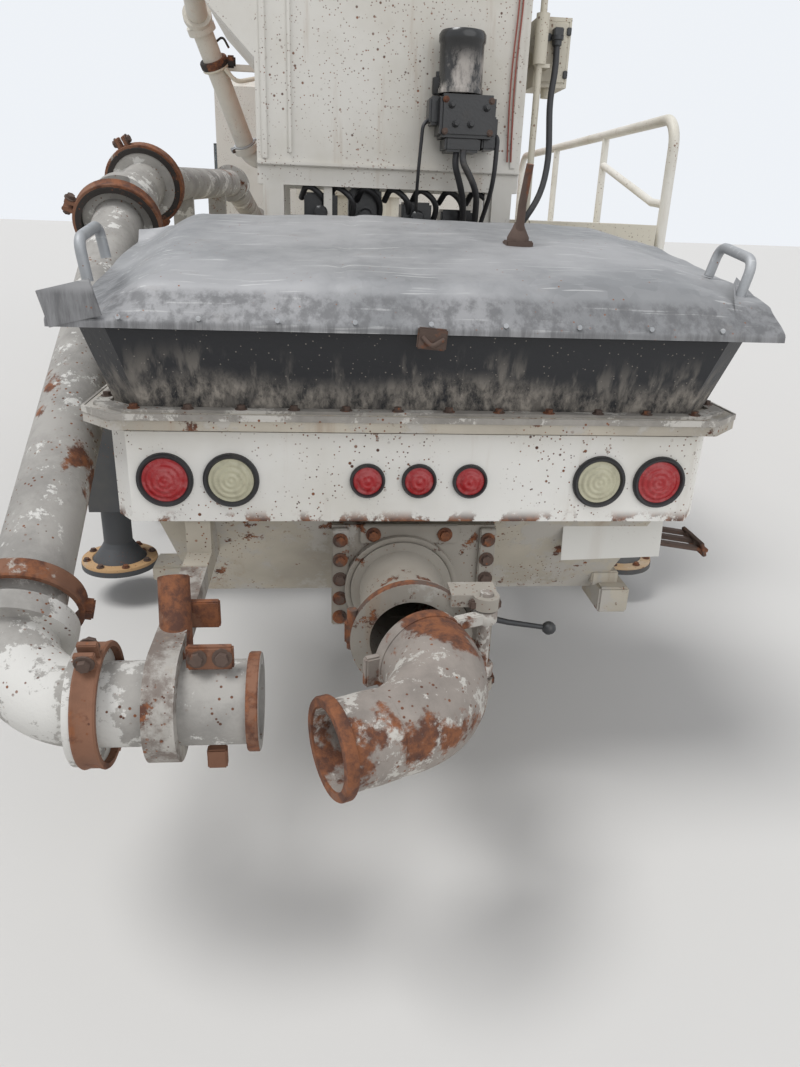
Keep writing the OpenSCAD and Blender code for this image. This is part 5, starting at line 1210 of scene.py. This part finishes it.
GREASE_HOSES = [
    (0.008, (0.335, 1.13, 1.88), (0.352, 1.10, 1.87), (0.350, 1.11, 1.72), (0.33, 1.19, 1.60)),
    (0.006, (0.125, 1.14, 1.92), (0.10, 1.12, 1.90), (0.09, 1.14, 1.72), (0.10, 1.24, 1.60)),
    (0.011, (0.235, 1.08, 1.825), (0.23, 1.06, 1.79), (0.29, 1.08, 1.70), (0.31, 1.2, 1.60)),
    (0.011, (0.215, 1.10, 1.825), (0.21, 1.09, 1.78), (0.25, 1.12, 1.68), (0.27, 1.22, 1.60))]
hoses = bmesh.new()
for radius, *spots in GREASE_HOSES:
    tube(hoses, rounded([at(*spot) for spot in spots], 0.07), radius)
piece("grease_hoses", hoses, black_rubber, "truck")

# %% Box fittings and the hanging hose
PLUG_X, PLUG_STATION, HOSE_D = 0.568, 1.270, 0.022
fittings = bmesh.new()
lathe(fittings, [(0.0, 0.0), (0.021, 0.0), (0.021, -0.014), (0.016, -0.016), (0.016, -0.03),
    (0.012, -0.034), (0.0, -0.034)], at(PLUG_X, PLUG_STATION, 2.205), UP, 24)
block(fittings, at(0.552, 1.250, 2.20), at(0.584, 1.290, 2.226), 0.003)
for z in (2.09, 2.22):
    block(fittings, at(0.603, 1.278, z - 0.012), at(0.618, 1.29, z + 0.012), 0.002)
lathe(fittings, [(0.0, -0.006), (0.012, -0.006), (0.012, 0.0), (0.0, 0.0)], at(0.54, 1.284, 2.2),
    AHEAD, 16)
piece("control_box_fittings", fittings, black_plastic, "truck")
lid = block(bmesh.new(), at(0.509, 1.285, 2.063), at(0.611, 1.295, 2.249), 0.004)
piece("control_box_lid", lid, cream_paint, "truck")

HOSE_PATH = rounded([at(PLUG_X, PLUG_STATION, 2.172), at(0.566, 1.250, 2.10), at(0.552, 1.235, 2.0),
    at(0.560, 1.20, 1.814), at(0.535, 1.17, 1.70), at(0.475, 1.15, 1.608), at(0.42, 1.20, 1.53)],
    0.09, 4)
hose_length = round(sum((b - a).length for a, b in zip(HOSE_PATH, HOSE_PATH[1:])), 3)
hose = tube(bmesh.new(), HOSE_PATH, HOSE_D/2, 16)
hose_piece = piece("control_hose", hose, black_rubber, "truck", 60)
print("hose", hose_length, "m")

# %% [markdown]
# ## Under and on the tank
# Four valve blocks and their hoses are dark shapes between the tank's legs. A sine moves
# each hose a little, so that seven copies of one bend don't look alike. Thin seams and two
# wires break up the tank's large flat wall.

# %% Hydraulic parts under the tank, and bare wires on it
VALVES = [(-0.30, -0.18, 1.27, 1.55, 1.68), (-0.14, -0.02, 1.30, 1.52, 1.70),
    (0.05, 0.16, 1.26, 1.56, 1.66), (0.20, 0.32, 1.30, 1.50, 1.64)]
valves, lines = bmesh.new(), bmesh.new()
for x0, x1, s0, z0, z1 in VALVES:
    block(valves, at(x0, s0, z0), at(x1, s0 + 0.12, z1), 0.008)
    lathe(valves, [(0.0, 0.0), (0.024, 0.0), (0.024, 0.05), (0.018, 0.055), (0.0, 0.055)],
        at((x0 + x1)/2, s0 + 0.001, (z0 + z1)/2), BEHIND, 20)
block(valves, at(-0.36, 1.28, 1.485), at(0.36, 1.46, 1.53), 0.004)
for k in range(7):
    x = -0.31 + 0.1*k
    reach = 0.02*math.sin(k*2.3)
    tube(lines, rounded([at(x, 1.30, 1.66), at(x + 0.02, 1.24 + reach, 1.71),
        at(x + 0.09, 1.25 - reach, 1.66), at(x + 0.07, 1.34, 1.53)], 0.05), 0.0105, 10)
piece("valve_blocks", valves, oily_black, "truck")
piece("valve_hoses", lines, black_rubber, "truck")

tank = bmesh.new()
for x in (-0.23, 0.345):
    block(tank, at(x, 1.225, 1.485), at(x + 0.03, 1.255, 1.70), 0.002)
block(tank, at(-0.457, 1.193, 1.762), at(0.457, TANK_STATION, 1.775), 0.002)
block(tank, at(-0.35, 1.192, 1.80), at(-0.338, TANK_STATION, 2.59), 0.002)
for x in (-0.44, 0.42):
    block(tank, at(x, 1.194, 1.78), at(x + 0.02, TANK_STATION, 2.58), 0.002)
piece("tank_seams", tank, tank_paint, "truck")
tank_bolts = [(at(-0.24 + 0.09*k, TANK_STATION, z), BEHIND) for k in range(3) for z in (2.52, 2.38)]
bolts("tank_bolts", tank_bolts, "truck", 0.014, 0.006, 8, 1.2, zinc_skin)
wires = bmesh.new()
for x in (0.405, 0.418):
    tube(wires, rounded([at(x, 1.194, 2.58), at(x + 0.008, 1.19, 2.3), at(x - 0.006, 1.192, 2.05),
        at(x + 0.004, 1.19, 1.80)], 0.15), 0.0028, 6)
red_wire = plain_black("red_wire", (0.26, 0.07, 0.05), 0.5)
piece("tank_wires", wires, red_wire, "truck")

# %% [markdown]
# ## Clamps on the riser
# The riser turns with the boom. Where it passes the turret it lies in a black clamp with a
# hook, and an orange plate carries the hook's arm.

# %% Riser clamps
RISER_LOW, RISER_HIGH = at(-0.79, 5.06, 1.96), at(-1.078, 4.63, 2.786)
RISER_WAY = (RISER_HIGH - RISER_LOW).normalized()
low_clamp, low_bolts = bmesh.new(), []
clamp(low_clamp, low_bolts, RISER_LOW.lerp(RISER_HIGH, 0.11), RISER_WAY, (-1, -0.4, 0), 0.077,
    0.036)
piece("riser_band_clamp", low_clamp, zinc_skin, "slewing")
bolts("riser_clamp_bolts", low_bolts, "slewing", 0.020, 0.011)

hold = RISER_LOW.lerp(RISER_HIGH, 0.72)


def near_hold(x, y, z):
    return hold + Vector((x, y, z))


ring = bmesh.new()
band_ring(ring, hold, RISER_WAY, 0.0705, 0.094, 0.099, 0.024, 0.016, 40)
block(ring, near_hold(0.085, -0.02, -0.03), near_hold(0.15, 0.02, 0.05), 0.012)
tube(ring, rounded([near_hold(0.02, -0.03, 0.12), near_hold(0.07, -0.03, 0.16),
    near_hold(0.11, -0.03, 0.09)], 0.05), 0.008)
piece("riser_black_clamp", ring, black_clamp, "slewing")
arm = bmesh.new()
side_way = RISER_WAY.cross(Vector(AHEAD)).normalized()
rear_way = RISER_WAY.cross(side_way)
hook_angles = [math.radians(10 + 17*k) for k in range(11)]
hook = [hold - RISER_WAY*0.032 + (side_way*math.cos(a) + rear_way*math.sin(a))*0.086
    for a in hook_angles]
tube(arm, hook, 0.011)
tube(arm, rounded([near_hold(0.08, -0.04, -0.04), near_hold(0.15, -0.03, -0.12),
    at(-0.70, 4.75, 2.47)], 0.05), 0.015)
piece("riser_hook_arm", arm, cream_paint, "slewing")
gusset = bmesh.new()
outline = [(-0.742, 2.70), (-0.700, 2.43), (-0.50, 2.43), (-0.50, 2.70)]
slab(gusset, *([at(x, s, z) for x, z in outline] for s in (4.752, 4.764)))
gusset_paint = worn_paint("gusset_paint", ORANGE, ORANGE_SHADE, 0.4, 0.72, 0.74, 0.3)
piece("riser_gusset", gusset, gusset_paint, "slewing")

# %% [markdown]
# ## Wheels
# A tyre's shoulder is cut into lugs, and ten nuts hold each rim. Both repeat round the
# axle. One tree sets a block on every corner of a circle, and places that ring at each
# tyre shoulder given to it.


# %% Tyre lugs, wheel nuts and hub caps
def lug_tree():
    tree = Tree("tyre_lugs", [("Lug Count", "Int", 44), ("Lug Radius", "Float", 0.5),
        ("Lug Size", "Vector", (0.02, 0.04, 0.04))])
    given = tree.given
    circle = tree.node("GeometryNodeMeshCircle",
        {"Vertices": given["Lug Count"], "Radius": given["Lug Radius"]})
    lug = tree.node("GeometryNodeMeshCube", {"Size": given["Lug Size"]})
    index = tree.node("GeometryNodeInputIndex")
    share = tree.math("DIVIDE", index[0], given["Lug Count"])
    about = tree.node("ShaderNodeCombineXYZ", {"Z": tree.math("MULTIPLY", share, math.tau)})
    around = tree.node("GeometryNodeInstanceOnPoints",
        {"Points": circle["Mesh"], "Instance": lug["Mesh"], "Rotation": about[0]})
    upright = tree.node("GeometryNodeTransform",
        {"Geometry": around[0], "Rotation": (0, math.pi/2, 0)})
    return tree.spread(upright[0])


LUGS = lug_tree()
AXLE_Z, HALF_TREAD, NUT_RING = 0.525, 0.116, 0.137
LUG_SIZES = {"Lug Count": 44, "Lug Radius": 0.511, "Lug Size": (0.024, 0.042, 0.040)}
# Body, axle station, middles of the tyres, face under the nuts, hub cap's radius and place.
WHEELS = [("front_wheel_", 6.95, (1.02,), 1.132, 0.076, 1.170),
    ("rear_wheel_", 2.75, (0.75, 1.08), 0.931, 0.091, 1.125)]
for side, end in BOTH_SIDES:
    outward = (side, 0, 0)
    for wheel, station, tyres, nut_x, cap_r, cap_x in WHEELS:
        body = wheel + end
        shoulders = bpy.data.meshes.new("shoulders")
        shoulders.from_pydata([at(side*(x + way*HALF_TREAD), station, AXLE_Z)
            for x in tyres for way in (-1, 1)], [], [])
        run_tree(body + "_lugs", LUGS, shoulders, LUG_SIZES, tyre_rubber, body)
        nuts = [(at(side*nut_x, station + NUT_RING*math.cos(a), AXLE_Z + NUT_RING*math.sin(a)),
            outward) for a in round_about(10)]
        bolts(body + "_nuts", nuts, body, 0.034, 0.024, 6, 1.25)
        cap = lathe(bmesh.new(), [(cap_r + 0.003, -0.03), (cap_r + 0.003, 0.0),
            (cap_r - 0.006, 0.010), (cap_r*0.5, 0.014), (0, 0.0145)],
            at(side*cap_x, station, AXLE_Z), outward, 36)
        piece(body + "_hub_cap", cap, engine_paint, body)

# %% [markdown]
# ## The cab
# Seals round the glass, wipers, an air intake, mirror glass and bumper corners make the
# cab read as a used truck. There is no badge and no lettering, and the front plate is bare.


# %% Seals, wipers and intake
def on_screen(x, z, out=0.0):
    """A point on the cab's raked front, out metres ahead of it."""
    return at(x, 8.0823 - 0.282*(z - 2.0), z) + Vector((0, 0.9625, 0.2714))*out


def round_window(place, half, low, high, radius):
    """A path round a window with rounded corners; place gives the point at x and z."""
    corners = [(0, low), (half, low), (half, high), (-half, high), (-half, low), (0, low)]
    return rounded([place(x, z) for x, z in corners], radius, 6)


seals = bmesh.new()
tube(seals, round_window(on_screen, 1.088, 1.812, 2.568, 0.06), 0.011, 10)
tube(seals, round_window(lambda x, z: at(x, 6.403, z), 0.698, 1.952, 2.348, 0.05), 0.010, 10)
piece("window_seals", seals, black_rubber, "truck")
wipers = bmesh.new()
for x in (-0.86, -0.06):
    lathe(wipers, [(0.020, -0.004), (0.020, 0.012), (0.012, 0.022), (0, 0.022)],
        on_screen(x, 1.775), (0, 0.96, 0.27), 20)
    tube(wipers, rounded([on_screen(x, 1.775, 0.02), on_screen(x + 0.12, 1.815, 0.032),
        on_screen(x + 0.46, 1.868, 0.016)], 0.05), 0.007, 8)
    tube(wipers, [on_screen(x + 0.14, 1.848, 0.006), on_screen(x + 0.46, 1.866, 0.007),
        on_screen(x + 0.78, 1.880, 0.006)], 0.0055, 8)
piece("wipers", wipers, black_plastic, "truck")

intake = bmesh.new()
intake_rim = round_window(lambda x, z: at(x, 8.149 if z < 1.5 else 8.145, z),
    0.66, 1.36, 1.60, 0.05)
tube(intake, intake_rim, 0.013, 10)
block(intake, at(-0.65, 8.138, 1.365), at(0.65, 8.152, 1.595), 0.004)
for k in range(5):
    low = 1.378 + 0.045*k
    block(intake, at(-0.64, 8.149, low), at(0.64, 8.172, low + 0.010), 0.003, turned(-32, "X"))
piece("air_intake", intake, black_plastic, "truck")

# %% [markdown]
# ## Doors, mirrors and bumper
# Both sides are the same but for a sign, so one loop makes them, with the side as a factor
# of -1 or 1. The door's trim rides on its door and swings with it.

# %% Doors, mirrors and bumper
SILL_MIDDLE, DOOR_X, INDICATOR = (7.2, 1.90), 1.2, (8.28, 0.64)
WINDOW = [(7.64, 1.90), (7.52, 2.45), (6.78, 2.45), (6.74, 2.41), (6.74, 1.90)]
mirror_skin = filmed_metal("mirror_glass", (0.62, 0.65, 0.66), (0.40, 0.39, 0.36), (9, 6, 0.6),
    0.06, 0.25)
amber_lens = lens_material("amber_lens", (0.50, 0.17, 0.02), (0.46, 0.24, 0.10))
mirrors, ambers, bumper = bmesh.new(), bmesh.new(), bmesh.new()
for side, end in BOTH_SIDES:
    trim = bmesh.new()
    window_path = [at(side*DOOR_X, s, z) for s, z in (SILL_MIDDLE, *WINDOW, SILL_MIDDLE)]
    tube(trim, rounded(window_path, 0.03, 4), 0.010, 8)
    x0, x1 = sorted((side*1.198, side*1.2035))
    block(trim, at(x0, 6.705, 1.735), at(x1, 6.895, 1.835), 0.002)
    lathe(trim, [(0.013, 0.0), (0.013, 0.006), (0.009, 0.008), (0, 0.008)],
        at(side*1.203, 6.80, 1.762), (side, 0, 0), 18)
    block(trim, at(x0, 6.69, 1.30), at(x1, 7.69, 1.345), 0.002)
    piece("door_trim_" + end, trim, black_plastic, "door_" + end)
    mirror_x = side*1.33
    block(mirrors, at(mirror_x - 0.084, 8.039, 1.872), at(mirror_x + 0.084, 8.0455, 2.228), 0.003,
        turned(-12*side, "Z"))
    indicator = at(side*0.70, *INDICATOR)
    lathe(ambers, [(0.042, -0.02), (0.042, 0.002), (0.030, 0.008), (0, 0.011)], indicator,
        AHEAD, 32)
    lathe(bumper, [(0.042, -0.01), (0.050, -0.01), (0.050, 0.006), (0.043, 0.008), (0.042, -0.01)],
        indicator, AHEAD, 32)
    corner_x = side*1.140
    block(bumper, at(corner_x - 0.08, 8.216, 0.352), at(corner_x + 0.08, 8.224, 0.928), 0.003,
        turned(-45*side, "Z"))
piece("mirror_glass", mirrors, mirror_skin, "truck")
piece("indicator_lenses", ambers, amber_lens, "truck", 60)
piece("bumper_corners", bumper, frame_paint, "truck")
front_plate = block(bmesh.new(), at(-0.26, 8.279, 0.795), at(0.26, 8.284, 0.905), 0.001)
piece("front_bare_plate", front_plate, plate_paint, "truck")

# %% [markdown]
# ## Boom, turret and chassis
# Pins have caps held by bolts, oil pipes run along the arms in clips, and a circle of
# bolts joins the turret to its slewing ring. Mud flaps, tank straps, foot rings and rows
# of frame bolts fill in the chassis.

# %% Pins and oil pipes
# Body, x, station, height and radius of each cap.
PINS = [("slewing", -0.254, 3.75, 3.12, 0.052), ("slewing", 0.254, 3.75, 3.12, 0.052),
    ("slewing", 0.252, 4.0, 2.2, 0.044), ("slewing", -0.252, 4.0, 2.2, 0.044),
    ("arm_2", 0.226, 9.05, 3.34, 0.055), ("arm_3", 0.181, 3.55, 3.72, 0.050),
    ("arm_1", 0.312, 7.65, 3.16, 0.028), ("arm_2", 0.282, 4.95, 3.54, 0.028)]
for body in ("slewing", "arm_1", "arm_2", "arm_3"):
    caps, heads = bmesh.new(), []
    for owner, x, s, z, r in PINS:
        if owner == body:
            way = 1 if x > 0 else -1
            reach = r*0.55
            lathe(caps, [(r, -0.006), (r, 0.008), (r - 0.005, 0.011), (0, 0.011)], at(x, s, z),
                (way, 0, 0), 32)
            heads += [(at(x + way*0.010, s + reach*math.cos(a), z + reach*math.sin(a)), (way, 0, 0))
                for a in round_about(3, 0.25)]
    piece(body + "_pin_caps", caps, frame_paint, body)
    bolts(body + "_pin_bolts", heads, body, 0.016, 0.008)

CLIPS = 6
# Body, x, rear and front end, heights of the pipes.
OIL_PIPES = [("arm_1", 0.211, 4.55, 8.55, (3.035, 3.065)),
    ("arm_2", 0.166, 5.25, 8.45, (3.43, 3.46)), ("arm_3", 0.126, 4.1, 7.9, (3.815,))]
for body, x, s0, s1, heights in OIL_PIPES:
    oil = bmesh.new()
    for z in heights:
        tube(oil, rounded([at(x - 0.03, s0, z), at(x, s0, z), at(x, s1, z), at(x - 0.03, s1, z)],
            0.03, 4), 0.0085, 10)
    for k in range(CLIPS):
        s = s0 + 0.12 + (s1 - s0 - 0.24)*k/(CLIPS - 1)
        block(oil, at(x - 0.012, s - 0.014, heights[0] - 0.018),
            at(x + 0.011, s + 0.014, heights[-1] + 0.018), 0.003)
    piece(body + "_oil_pipes", oil, zinc_skin, body)


# %% [markdown]
# ## Rings and rows of bolts
# A bolt ring is a list of points on a circle that face up. The same function serves the
# slewing ring and the four feet. The frame has two plain rows of bolts on each side.

# %% Slewing ring, feet and frame bolts
def bolt_ring(x, station, z, radius, count):
    """Bolts that face up on a circle, the first half a step from the x direction."""
    return [(at(x + radius*math.cos(a), station + radius*math.sin(a), z), UP)
        for a in round_about(count, 0.5)]


bolts("slewing_ring_bolts", bolt_ring(0, 5.1, 1.8105, 0.42, 28), "slewing", 0.028, 0.018)
for station, letter in ((1.46, "r"), (5.75, "f")):
    for side, end in BOTH_SIDES:
        body, x = "jack_" + letter + end, side*1.12
        foot = lathe(bmesh.new(), [(0.112, -0.004), (0.158, -0.004), (0.159, 0.0), (0.157, 0.009),
            (0.116, 0.011), (0.112, 0.007), (0.112, -0.004)], at(x, station, 0.1755), UP, 48)
        piece(body + "_foot_ring", foot, foot_paint, body)
        bolts(body + "_foot_bolts", bolt_ring(x, station, 0.186, 0.137, 8), body, 0.022, 0.012)
FRAME_BOLTS = (1.75, 2.0, 3.5, 3.7, 3.9, 4.25, 5.45, 5.55, 5.95, 6.1, 6.3)
frame_bolts = [(at(side*0.425, s, z), (side, 0, 0)) for side, _ in BOTH_SIDES for z in (0.80, 0.93)
    for s in FRAME_BOLTS]
bolts("frame_bolts", frame_bolts, "truck", 0.026, 0.014)

# %% [markdown]
# ## Mud flaps and tank straps
# A flap is a rippled grid of faces that a modifier makes thick; the ripple grows towards
# the free lower edge. A strap is a strip along a rounded path, with four rows of points
# for its thin section.

# %% Mud flaps and tank straps
FLAP_COLUMNS, FLAP_ROWS = 12, 8
flaps = bmesh.new()
for side, _ in BOTH_SIDES:
    def flap_point(i, j):
        across, down = i/FLAP_COLUMNS, j/FLAP_ROWS
        ripple = 0.006*math.sin(i*0.9 + side)*down
        return at(side*(0.612 + 0.604*across), 2.148 - 0.02*down**2 + ripple, 0.70 - 0.42*down)

    sheet(flaps, FLAP_COLUMNS, FLAP_ROWS, flap_point)
thicken(piece("mud_flaps", flaps, black_rubber, "truck", 60), 0.006, 0)

TANK_X, TANK_Z, TANK_HALF_X, TANK_HALF_Z = 0.755, 0.70, 0.302, 0.282
straps = bmesh.new()
for s in (4.56, 5.04):
    corners = [(-1, 0), (-1, 1), (1, 1), (1, -1), (-1, -1), (-1, 0)]
    path = rounded([at(TANK_X + TANK_HALF_X*i, s, TANK_Z + TANK_HALF_Z*j) for i, j in corners],
        0.093, 8)
    middle = at(TANK_X, s, TANK_Z)
    rows = []
    for across, above in ((-0.025, 0.0), (-0.025, 0.004), (0.025, 0.004), (0.025, 0.0)):
        edge = [p + (p - middle).normalized()*above + Vector((0, across, 0)) for p in path]
        rows.append([straps.verts.new(p) for p in edge])
    join_strip(straps, rows)
lathe(straps, [(0.048, -0.004), (0.048, 0.022), (0.042, 0.028), (0.015, 0.030), (0, 0.030)],
    at(0.70, 4.80, 0.98), UP, 28)
piece("tank_straps", straps, clamp_rust, "truck")
